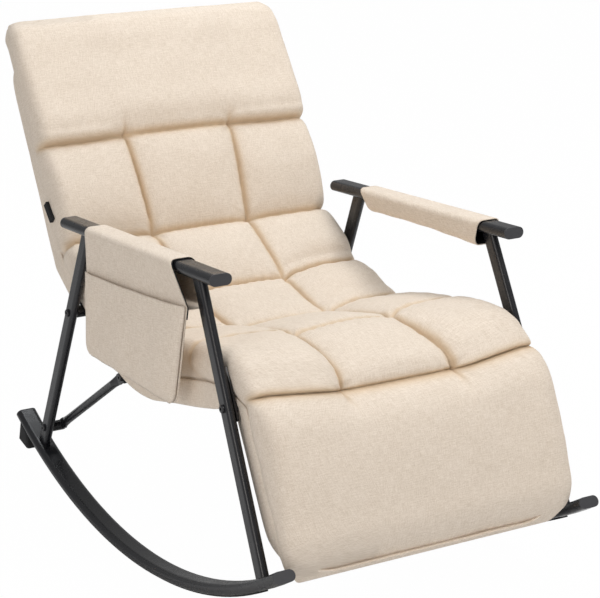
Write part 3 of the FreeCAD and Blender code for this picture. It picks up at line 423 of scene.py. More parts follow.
def frame_point(q):
    """(y, z) of the frame line at distance q: 0 at the leg-rest hinge, rising to the head."""
    q = np.asarray(q, float)
    point = np.stack([np.interp(q, rail_distance, rail[:, axis]) for axis in (0, 1)], -1)
    point += np.maximum(q - SEAT_LENGTH, 0)[..., None] * BACK_WAY
    return point + np.minimum(q, 0)[..., None] * LEG_WAY


# %% [markdown]
# ## Pad: its side view
# Two lines give the pad's height in the side view, as (y, z): along a column of tufts and along the
# pad's side edge. Each seam is a cut across the pad: a place on the frame line and a lean in degrees. The
# height of a cut is read where it meets the two lines, and the wadding swells up between two seams. The
# leg and head panels have no tufts, so their cuts are listed one by one.

# %% Pad lines and seams
HEAD = SEAT_LENGTH
COLUMN_LINE = [(-388, 394), (-380, 404), (-368, 413), (-355, 418.5), (-330, 422), (-302, 426), (-275, 431),
               (-245, 436), (-218, 440), (-196, 434), (-163, 425), (-88, 407), (-16, 389), (50, 394), (88, 401),
               (126, 411), (153, 420), (300, 505), (387, 678)]
EDGE_LINE = [(-406, 417), (-384, 438), (-354, 450), (-296, 456), (-237, 451), (-205, 444), (-176, 431),
             (-140, 425), (-82, 414), (-20, 396), (27, 381), (87, 400), (140, 413), (178, 415.5), (187, 434),
             (231, 460), (280, 490), (303, 503), (307, 531), (338, 596), (384, 656), (396, 668)]
#        place      lean   half   deck column bow
SEAMS = {
    "E": (0, 166.5, 281, 19, 111, 20),
    "D": (104, 77, 279, 13, 99, 42),
    "F": (321, 85, 281, 13, 96, 42),
    "C": (528, 110.8, 279.5, 13, 100, 22),
    "B": (HEAD, 138.3, 284, 19, 102, 2),
    "A": (HEAD + 215, 152.1, 287, 13, 113, -4),
}
#        place  lean  half deck edge crown column, outer
LEG_PANEL = [(-292, 151.8, 258, 13, 20, 23, 21, 22), (-280, 151.8, 273, 13, 38, 43, 42, 42),
             (-254, 151.8, 281, 13, 62, 72, 71, 70), (-209, 151.8, 283, 13, 76, 88, 87, 85),
             (-158, 151.8, 283, 13, 87, 100, 99, 97), (-104, 151.8, 283, 13, 93, 106, 104, 102),
             (-50, 157, 283, 13, 92, 98, 94, 99), (-22, 162, 282, 16, 85, 84, 76, 89)]
HEAD_PANEL = [(HEAD + 221, 152.1, 287.5, 13, 66, 88, 83, 86), (HEAD + 243, 152.1, 288, 13, 73, 98, 95, 94),
              (HEAD + 310, 152.1, 288, 13, 67, 95, 94, 89), (HEAD + 375, 152.1, 287, 13, 62, 87, 86, 81),
              (HEAD + 425, 152.1, 285, 6, 60, 81, 80, 75), (HEAD + 450, 152.1, 281, -6, 51, 71, 70, 66),
              (HEAD + 466, 152.1, 273, -9, 38, 52, 52, 49)]
#                  edge crown column outer
SWELL = {"knee": (2, 20, 0, 13), "seat_front": (4, 16, 0, 15), "seat_middle": (5, 18, 0, 16),
         "seat_rear": (6, 22, 1, 19), "back": (7, 24, 1, 21)}


def height_at(place, lean, line):
    """How far a cut reaches above the frame line before it meets a line of the side view."""
    start = frame_point(place)
    way = np.array([math.cos(math.radians(lean)), math.sin(math.radians(lean))])
    a, b = np.array(line[:-1], float), np.array(line[1:], float)
    run = b - a
    cross = way[0] * run[:, 1] - way[1] * run[:, 0]
    reach = ((a - start)[:, 0] * run[:, 1] - (a - start)[:, 1] * run[:, 0]) / cross
    along = ((a - start)[:, 0] * way[1] - (a - start)[:, 1] * way[0]) / cross
    slack = np.abs(along - 0.5) + (reach < 20) * 9 + (reach > 140) * 9
    return float(reach[np.argmin(slack)])


def swell(share):
    """How far the wadding stands up between two seams: steep at the seams, and round between them."""
    return (1 - np.abs(2 * share - 1) ** 2.4) ** 0.6


def smooth(x, xs, ys):
    """A smooth curve through the points (xs, ys), read at x."""
    slopes = np.gradient(ys, xs, axis=0)
    i = np.clip(np.searchsorted(xs, x) - 1, 0, len(xs) - 2)
    step = (xs[i + 1] - xs[i])[:, None]
    t = ((x - xs[i]) / step[:, 0])[:, None]
    return (ys[i] * (1 + 2 * t) * (1 - t) ** 2 + slopes[i] * step * t * (1 - t) ** 2
            + ys[i + 1] * t * t * (3 - 2 * t) + slopes[i + 1] * step * t * t * (t - 1))


def middle_line(cuts):
    """Distance along the wadding's middle, 60 mm above the frame line."""
    lean = np.radians(cuts[:, 1])
    middle = frame_point(cuts[:, 0]) + 60 * np.stack([np.cos(lean), np.sin(lean)], -1)
    return np.concatenate([[0], np.cumsum(np.linalg.norm(np.diff(middle, axis=0), axis=1))])


STITCH_PULL = 5


def seam_cut(place, lean, half, deck, column):
    """One full cut: place, lean, half width, underside, edge, crown, column height, outer, column place."""
    high, edge = height_at(place, lean, COLUMN_LINE) + STITCH_PULL, height_at(place, lean, EDGE_LINE)
    return [place, lean, half, deck, edge, high + 2.5, high, (high + edge) / 2 + 5, column]


def pad_row(name, spacing=5.0):
    """Closely spaced cuts of one row, closer still at its seams."""
    if name in SWELL:
        low, high = np.array(SEAMS[ROWS[name][0]][:5], float), np.array(SEAMS[ROWS[name][1]][:5], float)
        count = 40 if name == "knee" else 36
        even = np.linspace(0, 1, count + 1)
        share = 0.45 * even + 0.55 * (1 - np.cos(math.pi * even)) / 2
        made = np.array([seam_cut(*(low + (high - low) * at)) for at in share])
        # The knee row rises slowly from the leg panel's seam, most of all at its edge.
        slower = share[:, None] ** ((2.0, 1.3, 1.3, 2.0) if name == "knee" else 1.0)
        made[:, 4:8] += swell(slower) * SWELL[name]
        made[:, 3] = np.interp(share, [0, 0.12, 0.88, 1], [low[3], 13, 13, high[3]])
        made[:, 7] = np.maximum(made[:, 7], made[:, 4] + 5 * swell(share))
        return made, share
    seam = seam_cut(*SEAMS[ROWS[name]][:5])
    panel = [list(cut) + [seam[8]] for cut in (LEG_PANEL if name == "leg" else HEAD_PANEL)]
    cuts = np.array(panel + [seam] if name == "leg" else [seam] + panel, float)
    knots = middle_line(cuts)
    even = np.linspace(0, 1, max(8, int(knots[-1] / spacing)) + 1)
    share = 0.45 * even + 0.55 * (1 - np.cos(math.pi * even)) / 2
    return smooth(share * knots[-1], knots, cuts), share


ROWS = {"leg": "E", "knee": "ED", "seat_front": "DF", "seat_middle": "FC", "seat_rear": "CB", "back": "BA",
        "head": "A"}
row_cuts = {name: pad_row(name) for name in ROWS}
print("cuts per row:", {name: len(made) for name, (made, share) in row_cuts.items()})

# %% [markdown]
# ## Pad: its skin
# One ring of points is laid round every cut: the tufted top, two bulging sides that a seam draws in,
# and the flat underside on the slings. Sculpting could do it too, but rings of one count give even quads
# that follow the bowed seams.

# %% Ring counts and waves
TOP_MIDDLE, PLATEAU, ROUND, SIDE, UNDER = 52, 34, 16, 6, 12
TOP_SIDE = PLATEAU + ROUND
SIDE_SEAM, SEAM_INSET = 38.0, 5.5
SEAM_WIDTH, SEAM_DEPTH = 3.2, 4.8
COLUMN_WIDTH, COLUMN_DEPTH = 3.0, 4.2
TUFT_WIDTH, TUFT_DEPTH = 13, 5.5
PLEAT_HEIGHT, GATHER_HEIGHT, COLUMN_GATHER_HEIGHT = 1.9, 1.3, 0.8
UNEVEN = [(2.2, 130), (0.7, 46)]
PINCH, CREASE_PINCH = 2.2, 7.0


def eased(count):
    """Shares from 0 to 1, closer together at both ends."""
    even = np.linspace(0, 1, count + 1)
    return 0.5 * even + 0.5 * (1 - np.cos(math.pi * even)) / 2


def waves(a, b, size, count=6):
    """Soft irregular undulation of about `size` millimetres, from -1 to 1."""
    total = 0
    for _ in range(count):
        angle, phase = random.uniform(0, 2 * math.pi, 2)
        length = size * random.uniform(0.7, 1.5)
        total = total + np.cos(2 * math.pi * (a * math.cos(angle) + b * math.sin(angle)) / length + phase)
    return total / count


# The seams bow: outside the columns they run back towards the head by so much, in millimetres.
BOW = {name: (SEAMS[ends[0]][5], SEAMS[ends[-1]][5]) for name, ends in ROWS.items()}
all_cuts, all_run, row_start, length_so_far = [], [], {}, 0.0
for row_name, (made, share) in row_cuts.items():
    row_start[row_name] = length_so_far
    along_row = middle_line(made)
    all_cuts.append(made)
    all_run.append(length_so_far + along_row)
    length_so_far += along_row[-1]
all_cuts, all_run = np.concatenate(all_cuts), np.concatenate(all_run)


# %% [markdown]
# Seams shape all that is near them, so each cut learns how far it is from the nearest one. The leg and
# the head panel have a seam at one end only.

# %% Cuts of some rows


def rows_together(names):
    """Cuts of the named rows, their cloth distance, and their distance to a seam and to the tufted rows."""
    parts, distance, crease, plain, bows = [], [], [], [], []
    run = row_start[names[0]]
    for name in names:
        made, share = row_cuts[name]
        along_row = middle_line(made)
        first = 1 if parts else 0
        length = along_row[-1]
        parts.append(made[first:])
        distance.append(run + along_row[first:])
        ends = np.minimum(along_row, length - along_row)
        if name == "head":
            ends, away = along_row, along_row
        elif name == "leg":
            ends, away = length - along_row, length - along_row
        else:
            away = np.zeros_like(along_row)
        crease.append(ends[first:])
        plain.append(away[first:])
        bows.append((np.interp(along_row / length, [0, 1], BOW[name]) * np.exp(-away / 70))[first:])
        run += length
    cuts = np.concatenate(parts)
    return [cuts] + [np.concatenate(values)[:, None] for values in (distance, crease, plain, bows)]


# %% [markdown]
# The outline of a cut has four parts: the top between the two tuft columns, the top from a column to the
# rolled edge, the side down to the deck, and the underside. In the tufted rows the top stands up
# steeply from each column, and on the plain panels it is one shallow curve.

# %% Outline of a cut


def outline(cuts, sharp):
    """Once round every cut: x and height above the frame line, with what the later steps need."""
    place, lean, half, deck, edge, crown, valley, outer, column = (cuts[:, i][:, None] for i in range(9))
    roll = np.interp(place, [-260, -60, 0, 120, 300], [56, 44, 32, 28, 25])
    shoulder = half - roll

    xi = 2 * eased(TOP_MIDDLE)[None, :] - 1
    round_top = 1 - xi ** 2
    tufted_top = (1 - np.abs(xi) ** 2.6) ** 0.52
    middle_x = column * xi
    middle_n = valley + (crown - valley) * (sharp * tufted_top + (1 - sharp) * round_top)

    eta = eased(PLATEAU)[None, 1:]
    rise_by = np.minimum(eta / 0.5, 1)
    rise = sharp * (1 - (1 - rise_by) ** 2.6) ** 0.52 + (1 - sharp) * (1 - (1 - rise_by) ** 2)
    plateau_x = column + (shoulder - column) * eta
    plateau_n = valley + (outer - valley) * rise

    seam_n = np.minimum(SIDE_SEAM, deck + 0.55 * (edge - deck))
    wide_n = seam_n + 0.42 * (edge - seam_n)
    turn = math.pi / 2 * np.linspace(0, 1, ROUND + 1)[None, 1:]
    roll_x = shoulder + roll * np.sin(turn) ** 0.8
    roll_n = wide_n + (outer - wide_n) * np.maximum(np.cos(turn), 0) ** 0.8

    phi = math.pi / 2 * np.linspace(0, 1, SIDE + 1)[None, 1:]
    round_x = half - SEAM_INSET * (1 - np.cos(phi))
    round_n = wide_n - (wide_n - seam_n) * np.sin(phi)
    low = np.linspace(0, 1, 5)[None, 1:]
    low_x = half - SEAM_INSET + (np.sin(math.pi * low) * 2.5) - 4 * low
    low_n = seam_n + (deck - seam_n) * low

    side_x = np.concatenate([plateau_x, roll_x, round_x, low_x], 1)
    side_n = np.concatenate([plateau_n, roll_n, round_n, low_n], 1)
    under = np.linspace(0, 1, UNDER + 1)[None, 1:-1]
    under_x = side_x[:, -1:] * (1 - 2 * under)
    x = np.concatenate([middle_x, side_x, under_x, -side_x[:, ::-1]], 1)
    n = np.concatenate([middle_n, side_n, deck + 0 * under_x, side_n[:, ::-1]], 1)
    return x, n, shoulder, seam_n, wide_n


def top_share(count):
    """1 on the top, 0 on the sides and the underside, for each point of a ring."""
    top = TOP_MIDDLE + 1 + TOP_SIDE
    is_top = np.zeros(count)
    is_top[:top - 6] = 1
    is_top[top - 6:top + 4] = np.linspace(1, 0, 10)
    mirrored = np.roll(is_top[::-1], TOP_MIDDLE + 1)
    return np.maximum(is_top, mirrored)[None, :]


# %% [markdown]
# Stitched seams are narrow, so they are pressed in as fine lines. The tufts, where a seam crosses a
# column, are the deepest points, with pleats that fan out from them, and the cloth gathers in small
# puckers along each line of stitches.

# %% Stitches, tufts, pleats and gathers


def sewn_relief(x, u, to_seam, away, sharp, column):
    """Height that the sewing adds to the top, and where the seams are."""
    to_column = np.abs(x) - column
    seam_line = np.exp(-(to_seam / SEAM_WIDTH) ** 2)
    column_line = np.exp(-(to_column / COLUMN_WIDTH) ** 2) * sharp
    to_tuft = np.hypot(to_seam, to_column)
    tuft = np.exp(-(to_tuft / TUFT_WIDTH) ** 2) * np.exp(-(away / 40) ** 2)
    pleat_way = np.arctan2(to_seam, to_column)
    pleats = np.cos(6 * pleat_way + 1.3 * np.sign(x) + u / 90) * np.exp(-((to_tuft - 17) / 13) ** 2)
    gathers = np.sin(2 * math.pi * (x / 24 + 0.9 * np.sin(x / 61) + u / 400)) * np.exp(-to_seam / 15)
    column_gathers = np.sin(2 * math.pi * (u / 27 + 0.8 * np.sin(u / 47)))
    column_gathers = column_gathers * np.exp(-np.abs(to_column) / 12) * sharp
    relief = (-SEAM_DEPTH * seam_line - COLUMN_DEPTH * column_line - TUFT_DEPTH * tuft + PLEAT_HEIGHT * pleats
              + GATHER_HEIGHT * gathers + COLUMN_GATHER_HEIGHT * column_gathers)
    return relief, seam_line


# %% [markdown]
# The rings take all this together: the outline, the sewing, a slow unevenness of the wadding, sides that
# each seam pinches, and the bow of the seams outside the columns.

# %% Rings of the pad


def pad_rings(names):
    """Rings of points round the cuts of the named rows, their cloth coordinates, and where shade is painted along
    their folds.
    """
    cuts, u, to_seam, away, bow = rows_together(names)
    place, half, deck, column = (cuts[:, i][:, None] for i in (0, 2, 3, 8))
    sharp = np.exp(-(away / 16) ** 2)
    x, n, shoulder, seam_n, wide_n = outline(cuts, sharp)
    is_top = top_share(x.shape[1])
    relief, seam_line = sewn_relief(x, u, to_seam, away, sharp, column)
    n = n + is_top * relief
    for height, size in UNEVEN:
        n = n + is_top * height * waves(x, u, size) * (1 - seam_line)
    x = x + np.sign(x) * 0.9 * waves(n * 1.5, u, 60) * (1 - is_top) * (np.abs(x) > half - 20)
    pinch = np.exp(-(to_seam / 9) ** 2) * np.clip((np.abs(x) - half + 22) / 16, 0, 1) * np.clip((n - deck) / 30, 0, 1)
    x = x - np.sign(x) * (PINCH + CREASE_PINCH * np.exp(-((place - HEAD) / 25) ** 2)) * pinch

    reach = np.interp(place, [0, 60], [1.0, 0.55])
    outside = np.clip((np.abs(x) - column) / (shoulder - column), 0, 1)
    down_side = np.clip((n - seam_n) / (wide_n - seam_n + 1), 0, 1)
    bowed = u + bow * np.minimum(outside / reach, 1) ** 0.8 * down_side ** 0.7 * (np.abs(x) > column)
    lean = np.radians(np.interp(bowed, all_run, all_cuts[:, 1]))
    base = frame_point(np.interp(bowed, all_run, all_cuts[:, 0]))
    yz = base + n[..., None] * np.stack([np.cos(lean), np.sin(lean)], -1)
    points = np.concatenate([x[..., None], yz], -1)
    girth = np.concatenate([np.zeros((len(x), 1)),
                            np.cumsum(np.linalg.norm(np.diff(points, axis=1), axis=2), 1)], 1)
    uv = np.stack([girth, u + 0 * girth], -1)
    # Where the cloth material paints shade: along the seams and the tuft columns, on the top only.
    fold = np.maximum(np.exp(-(to_seam / 8) ** 2), sharp * np.exp(-((np.abs(x) - column) / 7) ** 2)) * is_top
    return points, uv, fold


# %% [markdown]
# The rings become one closed mesh. Its UV map is the cloth's own length round and along the pad, so the
# weave keeps its size, and the fold attribute tells the material where to paint shade along the seams.

# %% Mesh from rings


def ring_mesh(name, points, uv, caps=True, fold=None):
    """A closed mesh from rings of points, with a UV map in metres."""
    rings, around = points.shape[:2]
    grid = np.arange(rings * around).reshape(rings, around)
    nxt = np.roll(grid, -1, 1)
    quads = np.stack([grid[:-1], nxt[:-1], nxt[1:], grid[1:]], -1).reshape(-1, 4)
    faces = [list(map(int, q)) for q in quads]
    if caps:
        faces += [list(map(int, grid[0][::-1])), list(map(int, grid[-1]))]
    mesh = bpy.data.meshes.new(name)
    mesh.from_pydata((points.reshape(-1, 3) * MM).tolist(), [], faces)
    layer = mesh.uv_layers.new(name="cloth")
    flat = uv.reshape(-1, 2) * MM
    seam_turn = flat.reshape(rings, around, 2)
    closing = seam_turn[:, -1] + np.linalg.norm(points[:, -1] - points[:, 0], axis=-1)[:, None] * [[MM, 0]]
    corner = 0
    values = np.zeros((sum(len(f) for f in faces), 2))
    for face in faces[:len(quads)]:
        last = face[0] % around == around - 1
        for k, vertex in enumerate(face):
            wrapped = last and vertex % around == 0
            values[corner] = closing[vertex // around] if wrapped else flat[vertex]
            corner += 1
    for face in faces[len(quads):]:
        for vertex in face:
            values[corner] = points.reshape(-1, 3)[vertex][:2] * MM
            corner += 1
    layer.data.foreach_set("uv", values.ravel())
    # The fold attribute marks where the cloth material paints shade.
    if fold is not None:
        mesh.attributes.new("fold", "FLOAT", "POINT").data.foreach_set("value", fold.ravel())
    mesh.update()
    piece = bpy.data.objects.new(name, mesh)
    bpy.context.scene.collection.objects.link(piece)
    mesh.polygons.foreach_set("use_smooth", [True] * len(mesh.polygons))
    face_outwards(piece)
    return piece


def face_outwards(piece):
    """Turn a closed mesh's faces outwards."""
    built = bmesh.new()
    built.from_mesh(piece.data)
    if built.calc_volume(signed=True) < 0:
        bmesh.ops.reverse_faces(built, faces=built.faces)
    built.to_mesh(piece.data)
    built.free()


#             out, share kept, inwards
END_RINGS = [(5.0, 0.72, 4.0), (8.0, 0.35, 9.0), (9.0, 0.05, 14.0)]


def taper_end(points, uv, at_start):
    """Close the pad's end with rings that run together, as a stuffed end does."""
    ring, near = (points[0], points[1]) if at_start else (points[-1], points[-2])
    way = (ring.mean(0) - near.mean(0))
    way[0] = 0
    way /= np.linalg.norm(way)
    middle = (ring[:, 1:].max(0) + ring[:, 1:].min(0)) / 2
    low_point = ring[TOP_MIDDLE + TOP_SIDE + SIDE + 4, 1:]
    added = []
    for out, keep, inwards in END_RINGS:
        moved = ring.copy()
        level = (middle + low_point) / 2
        moved[:, 1:] = level + (ring[:, 1:] - level) * keep + way[1:] * out
        moved[:, 0] *= (np.abs(ring[:, 0]).max() - inwards) / np.abs(ring[:, 0]).max()
        added.append(moved)
    rings = np.array(added)
    step = np.array([[0, ring_out[0]] for ring_out in END_RINGS])[:, None, :]
    if at_start:
        return np.concatenate([rings[::-1], points]), np.concatenate([(uv[0] - step)[::-1], uv])
    return np.concatenate([points, rings]), np.concatenate([uv, uv[-1] + step])


# %% [markdown]
# The pad is one on the real chair. Here it is divided at the sewn seam at the seat's rear, into a front
# half over the leg rest, knee and seat, and a rear half over the back. Both share the ring at that seam.

# %% Pad, front half and rear half
front_points, front_uv, front_fold_shade = pad_rings(["leg", "knee", "seat_front", "seat_middle"])
front_points, front_uv = taper_end(front_points, front_uv, True)
rear_points, rear_uv, rear_fold_shade = pad_rings(["seat_rear", "back", "head"])
rear_points, rear_uv = taper_end(rear_points, rear_uv, False)
joined = (front_points[-1] + rear_points[0]) / 2
front_points[-1] = rear_points[0] = joined
# Painted fold shade for each half; the closing end rings get none.
no_fold_shade = np.zeros((len(END_RINGS), front_fold_shade.shape[1]))
pad_front = ring_mesh("pad_seat_and_leg_rest", front_points, front_uv, fold=np.concatenate([no_fold_shade, front_fold_shade]))
pad_rear = ring_mesh("pad_back", rear_points, rear_uv, fold=np.concatenate([rear_fold_shade, no_fold_shade]))
for piece in (pad_front, pad_rear):
    piece.data.materials.append(pad_cloth)
print("pad faces:", len(pad_front.data.polygons), len(pad_rear.data.polygons))
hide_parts("seat_cushion", "knee_cushion", "leg_cushion")
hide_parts("back_cushion")
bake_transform(pad_front)
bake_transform(pad_rear)

# %% [markdown]
# ## Cloth pieces
# Thin cloth is a grid of points with a UV map in metres, thickened by Solidify. Grids make hems, folds
# and slack easy to place, because one direction follows the hang of the cloth and the other its width.

# %% Cloth helper


def cloth(name, points, thick, materials, offset=0.0, closed=False):
    """A sheet from a grid of points (rows, columns, 3) in millimetres, with thickness."""
    rows, columns = points.shape[:2]
    grid = np.arange(rows * columns).reshape(rows, columns)
    nxt = np.roll(grid, -1, 1) if closed else grid[:, 1:]
    here = grid if closed else grid[:, :-1]
    faces = np.stack([here[:-1], nxt[:-1], nxt[1:], here[1:]], -1).reshape(-1, 4).tolist()
    mesh = bpy.data.meshes.new(name)
    mesh.from_pydata((points.reshape(-1, 3) * MM).tolist(), [], faces)
    across = np.concatenate([np.zeros((rows, 1)), np.cumsum(np.linalg.norm(np.diff(points, axis=1), axis=2), 1)], 1)
    along = np.concatenate([np.zeros((1, columns)), np.cumsum(np.linalg.norm(np.diff(points, axis=0), axis=2), 0)])
    uv = np.stack([across, along], -1) * MM
    layer = mesh.uv_layers.new(name="cloth")
    order = np.array(faces).ravel()
    values = uv.reshape(-1, 2)[order].copy()
    if closed:
        turn = np.array(faces)[:, :1] % columns == columns - 1
        wrapped = (turn & (np.array(faces) % columns == 0)).ravel()
        full = (across[:, -1] + np.linalg.norm(points[:, -1] - points[:, 0], axis=1)) * MM
        values[wrapped, 0] = full[order[wrapped] // columns]
    layer.data.foreach_set("uv", values.ravel())
    piece = bpy.data.objects.new(name, mesh)
    bpy.context.scene.collection.objects.link(piece)
    for material in materials:
        mesh.materials.append(material)
    wall = piece.modifiers.new("wall", "SOLIDIFY")
    wall.thickness, wall.offset = thick * MM, offset
    wall.material_offset = len(materials) - 1
    wall.use_even_offset = True
    apply_modifiers(piece)
    mesh.polygons.foreach_set("use_smooth", [True] * len(mesh.polygons))
    size = (float(across[:, -1].max()) * MM, float(along[-1].max()) * MM)
    corner = [points[:-1, :-1], points[1:, :-1], points[:-1, 1:]]
    area = float(np.linalg.norm(np.cross(corner[1] - corner[0], corner[2] - corner[0]), axis=2).sum()) * MM * MM
    print(f"{name}: {size[0]:.3f} x {size[1]:.3f} m, {area:.4f} m2")
    return piece, size, min(area, size[0] * size[1])


# %% [markdown]
# ## Slings
# Dark cloth is stretched over the tubes and carries the pad. It is seen from behind and below, so it
# gets a slight unevenness and wraps the side tubes. A flat plane would show its cut edge.

# %% Slings


def sling(name, q_from, q_to, body, corner=None):
    """Cloth over both side tubes. Past the frame's corner it narrows with the bent tube."""
    q = np.arange(q_from, q_to + 1, 6.0)
    point = frame_point(q)
    way = np.gradient(point, axis=0)
    way /= np.linalg.norm(way, axis=1)[:, None]
    up = np.stack([-way[:, 1], way[:, 0]], -1)
    ring = [(TUBE_X + 12.3 * math.cos(math.radians(a)), 12.3 * math.sin(math.radians(a)))
            for a in (-40, -15, 10, 35, 60, 80)]
    xs = np.linspace(TUBE_X - 6, -TUBE_X + 6, 44)
    section = ring + [(x, 11.9) for x in xs] + [(-x, h) for x, h in ring[::-1]]
    past = np.clip(np.abs(q) - corner, 0, 60) if corner else 0 * q
    narrower = FRAME_CORNER - np.sqrt(FRAME_CORNER ** 2 - past ** 2)
    x = np.array([s[0] for s in section])[None, :] * (1 - narrower[:, None] / TUBE_X)
    height = np.array([s[1] for s in section])[None, :]
    flat = (np.abs(x) < TUBE_X - 8)
    height = height + flat * 0.35 * waves(x, q[:, None], 70)
    grid = point[:, None, :] + height[..., None] * up[:, None, :]
    points = np.concatenate([x[..., None] + 0 * grid[..., :1], grid], -1)
    piece, size, area = cloth(name, points, 1.0, [sling_cloth])
    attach(piece, body)
    return piece


back_sling = sling("back_sling_cloth", SEAT_LENGTH + 30, SEAT_LENGTH + 405, "backrest",
                   SEAT_LENGTH + BACK_LENGTH - FRAME_CORNER)
seat_sling = sling("seat_sling_cloth", 30, SEAT_LENGTH - 30, "root")
leg_sling = sling("leg_sling_cloth", -254, -30, "legrest", LEG_LENGTH - FRAME_CORNER)
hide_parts("back_sling")
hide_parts("seat_sling")
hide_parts("leg_sling")

# %% [markdown]
# ## Band under the pad's edge
# The cover goes on below the side seam as a band that hides the tubes. One band runs from boss to boss
# round the back, and one from boss to boss round the leg rest.

# %% Edge bands
BAND_GAP_Q, BAND_STEP = 15.5, 8.0
BOSS_Q = SEAT_LENGTH - math.dist((254.1, 389.8), BACK_HINGE)
BAND_SECTION = [(36.5, 10.5), (33, 12.8), (24, 13.8), (12, 12.6), (0, 11.0), (-7, 10.2), (-11.2, 8.6), (-12.8, 5.8),
                (-11.6, 3.2), (-7, 2.4), (0, 2.4), (12, 3.0), (24, 5.6), (33, 8.6)]


def side_stations(names, q_from, q_to):
    """Place, lean and half width of the pad's cuts between two places on the line."""
    cuts = np.concatenate([row_cuts[name][0] for name in names])
    inside = (cuts[:, 0] > q_from) & (cuts[:, 0] < q_to)
    far_enough = np.concatenate([[True], np.diff(cuts[inside][:, 0]) > 0.4])
    return cuts[inside][far_enough][::2]


def end_path(hinge, way, total, sign, lean):
    """Half of the way round a U tube's end, from its side to the middle: position, outward way."""
    corner, rows = FRAME_CORNER, []
    up = np.array([0, math.cos(math.radians(lean)), math.sin(math.radians(lean))])
    forward = np.array([0, way[0], way[1]])
    origin = np.array([0, *hinge])
    for angle in np.linspace(0, 90, 12)[1:]:
        c, s = math.cos(math.radians(angle)), math.sin(math.radians(angle))
        centre = origin + forward * (total - corner) + np.array([sign * (TUBE_X - corner), 0, 0])
        outward = np.array([sign * c, 0, 0]) + forward * s
        rows.append((centre + outward * (corner + TUBE_R), outward, up))
    for x in np.linspace(TUBE_X - corner, 0, 16)[1:]:
        rows.append((origin + forward * (total + TUBE_R) + np.array([sign * x, 0, 0]), forward, up))
    return rows


def band(name, side_cuts, hinge, way, total, lean):
    """A stuffed band along one side of the frame, round its end and back along the other side."""
    rows = {}
    for sign in (-1, 1):
        rows[sign] = []
        for cut in side_cuts:
            up = np.array([0, math.cos(math.radians(cut[1])), math.sin(math.radians(cut[1]))])
            centre = np.array([sign * (TUBE_X + TUBE_R), *frame_point(cut[0])])
            rows[sign].append((centre, np.array([sign, 0, 0]), up))
        rows[sign] += end_path(hinge, way, total, sign, lean)
    path = rows[-1] + rows[1][-2::-1]
    heights, outs = np.array(BAND_SECTION).T
    run = np.arange(len(path))[:, None] * BAND_STEP
    ripple = 0.8 * waves(run, heights[None, :] * 2, 55) + 0.7 * waves(run, heights[None, :], 140)
    lower = 1.6 * waves(run, 0 * run, 90) * (heights < -5)
    points = np.array([[c + o * (out + ripple[i, k] * 0.8) + u * (h + lower[i, k])
                        for k, (h, out) in enumerate(zip(heights, outs))] for i, (c, o, u) in enumerate(path)])
    girth = np.concatenate([[0], np.cumsum(np.linalg.norm(np.diff(points[0], axis=0), axis=1))])
    uv = np.stack([girth[None, :] + 0 * run, run + 0 * girth[None, :]], -1)
    piece = ring_mesh(name, points, uv)
    soften = piece.modifiers.new("soften", "SUBSURF")
    soften.levels = soften.render_levels = 1
    apply_modifiers(piece)
    piece.data.materials.append(pad_cloth)
    return piece


back_cuts = side_stations(["seat_rear", "back", "head"], BOSS_Q + BAND_GAP_Q,
                          SEAT_LENGTH + BACK_LENGTH - FRAME_CORNER)
leg_cuts = side_stations(["leg", "knee", "seat_front", "seat_middle", "seat_rear"], -(LEG_LENGTH - FRAME_CORNER),
                         BOSS_Q - BAND_GAP_Q)[::-1]
back_band = band("back_edge_band", back_cuts, BACK_HINGE, BACK_WAY, BACK_LENGTH, 152.1)
leg_band = band("leg_rest_edge_band", leg_cuts, LEG_HINGE, -LEG_WAY, LEG_LENGTH, 151.8)
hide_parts("back_skirt")
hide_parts("leg_skirt", "seat_skirts")
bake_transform(back_band)
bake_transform(leg_band)

# %% [markdown]
# ## Sleeve with a pocket, on the right armrest
# A cloth loop goes round the tube, and its outer side hangs far down as a panel. The path of the cloth is
# drawn once in the front view and repeated along the armrest, because that keeps the slanting front edge
# and the rounded lower corners. Sway and pull lines are added to what hangs.

# %% Pocket sleeve
ARM_FRONT, ARM_REAR, ARM_X = (-310.0, 590.6), (254.5, 560.4), 288.0
PANEL_BOTTOM, PANEL_REAR, PANEL_FRONT, CORNER = 349.0, 133.0, -203.0, 25.0


def arm_height(y):
    return ARM_FRONT[1] + (ARM_REAR[1] - ARM_FRONT[1]) * (y - ARM_FRONT[0]) / (ARM_REAR[0] - ARM_FRONT[0])


def rounded_path(corners, radius, step=5.0):
    """Points along an open path with rounded corners, evenly spaced."""
    line, distance = bent_line(corners, [radius] * (len(corners) - 2))
    at = np.linspace(0, distance[-1], int(distance[-1] / step) + 1)
    return np.stack([np.interp(at, distance, line[:, axis]) for axis in (0, 1)], -1)


def front_edge(z):
    """The slanting front edge of the pocket sleeve, with the rounded lower corner."""
    edge = np.interp(z, [PANEL_BOTTOM, 530, 596], [PANEL_FRONT, -243, -180])
    rise = np.clip(z - PANEL_BOTTOM, 0, CORNER)
    return edge + CORNER - np.sqrt(CORNER ** 2 - (CORNER - rise) ** 2)


def rear_edge(z):
    edge = np.interp(z, [PANEL_BOTTOM, 520, 570], [PANEL_REAR, 138, 142])
    rise = np.clip(z - PANEL_BOTTOM, 0, CORNER)
    return edge - CORNER + np.sqrt(CORNER ** 2 - (CORNER - rise) ** 2)


panel_waves = [(random.uniform(60, 150), random.uniform(0, 2 * math.pi), random.uniform(-0.5, 0.5)) for _ in range(5)]


def panel_sway(y, z):
    """How far the hanging panel stands off its plane: nothing at the armrest, most at its lower edge."""
    low = np.clip((545 - z) / 190, 0, 1)
    sway = sum(np.cos(2 * math.pi * (y + slant * z) / size + phase) for size, phase, slant in panel_waves) / 5
    return low * (2.6 * sway) + low * 1.2


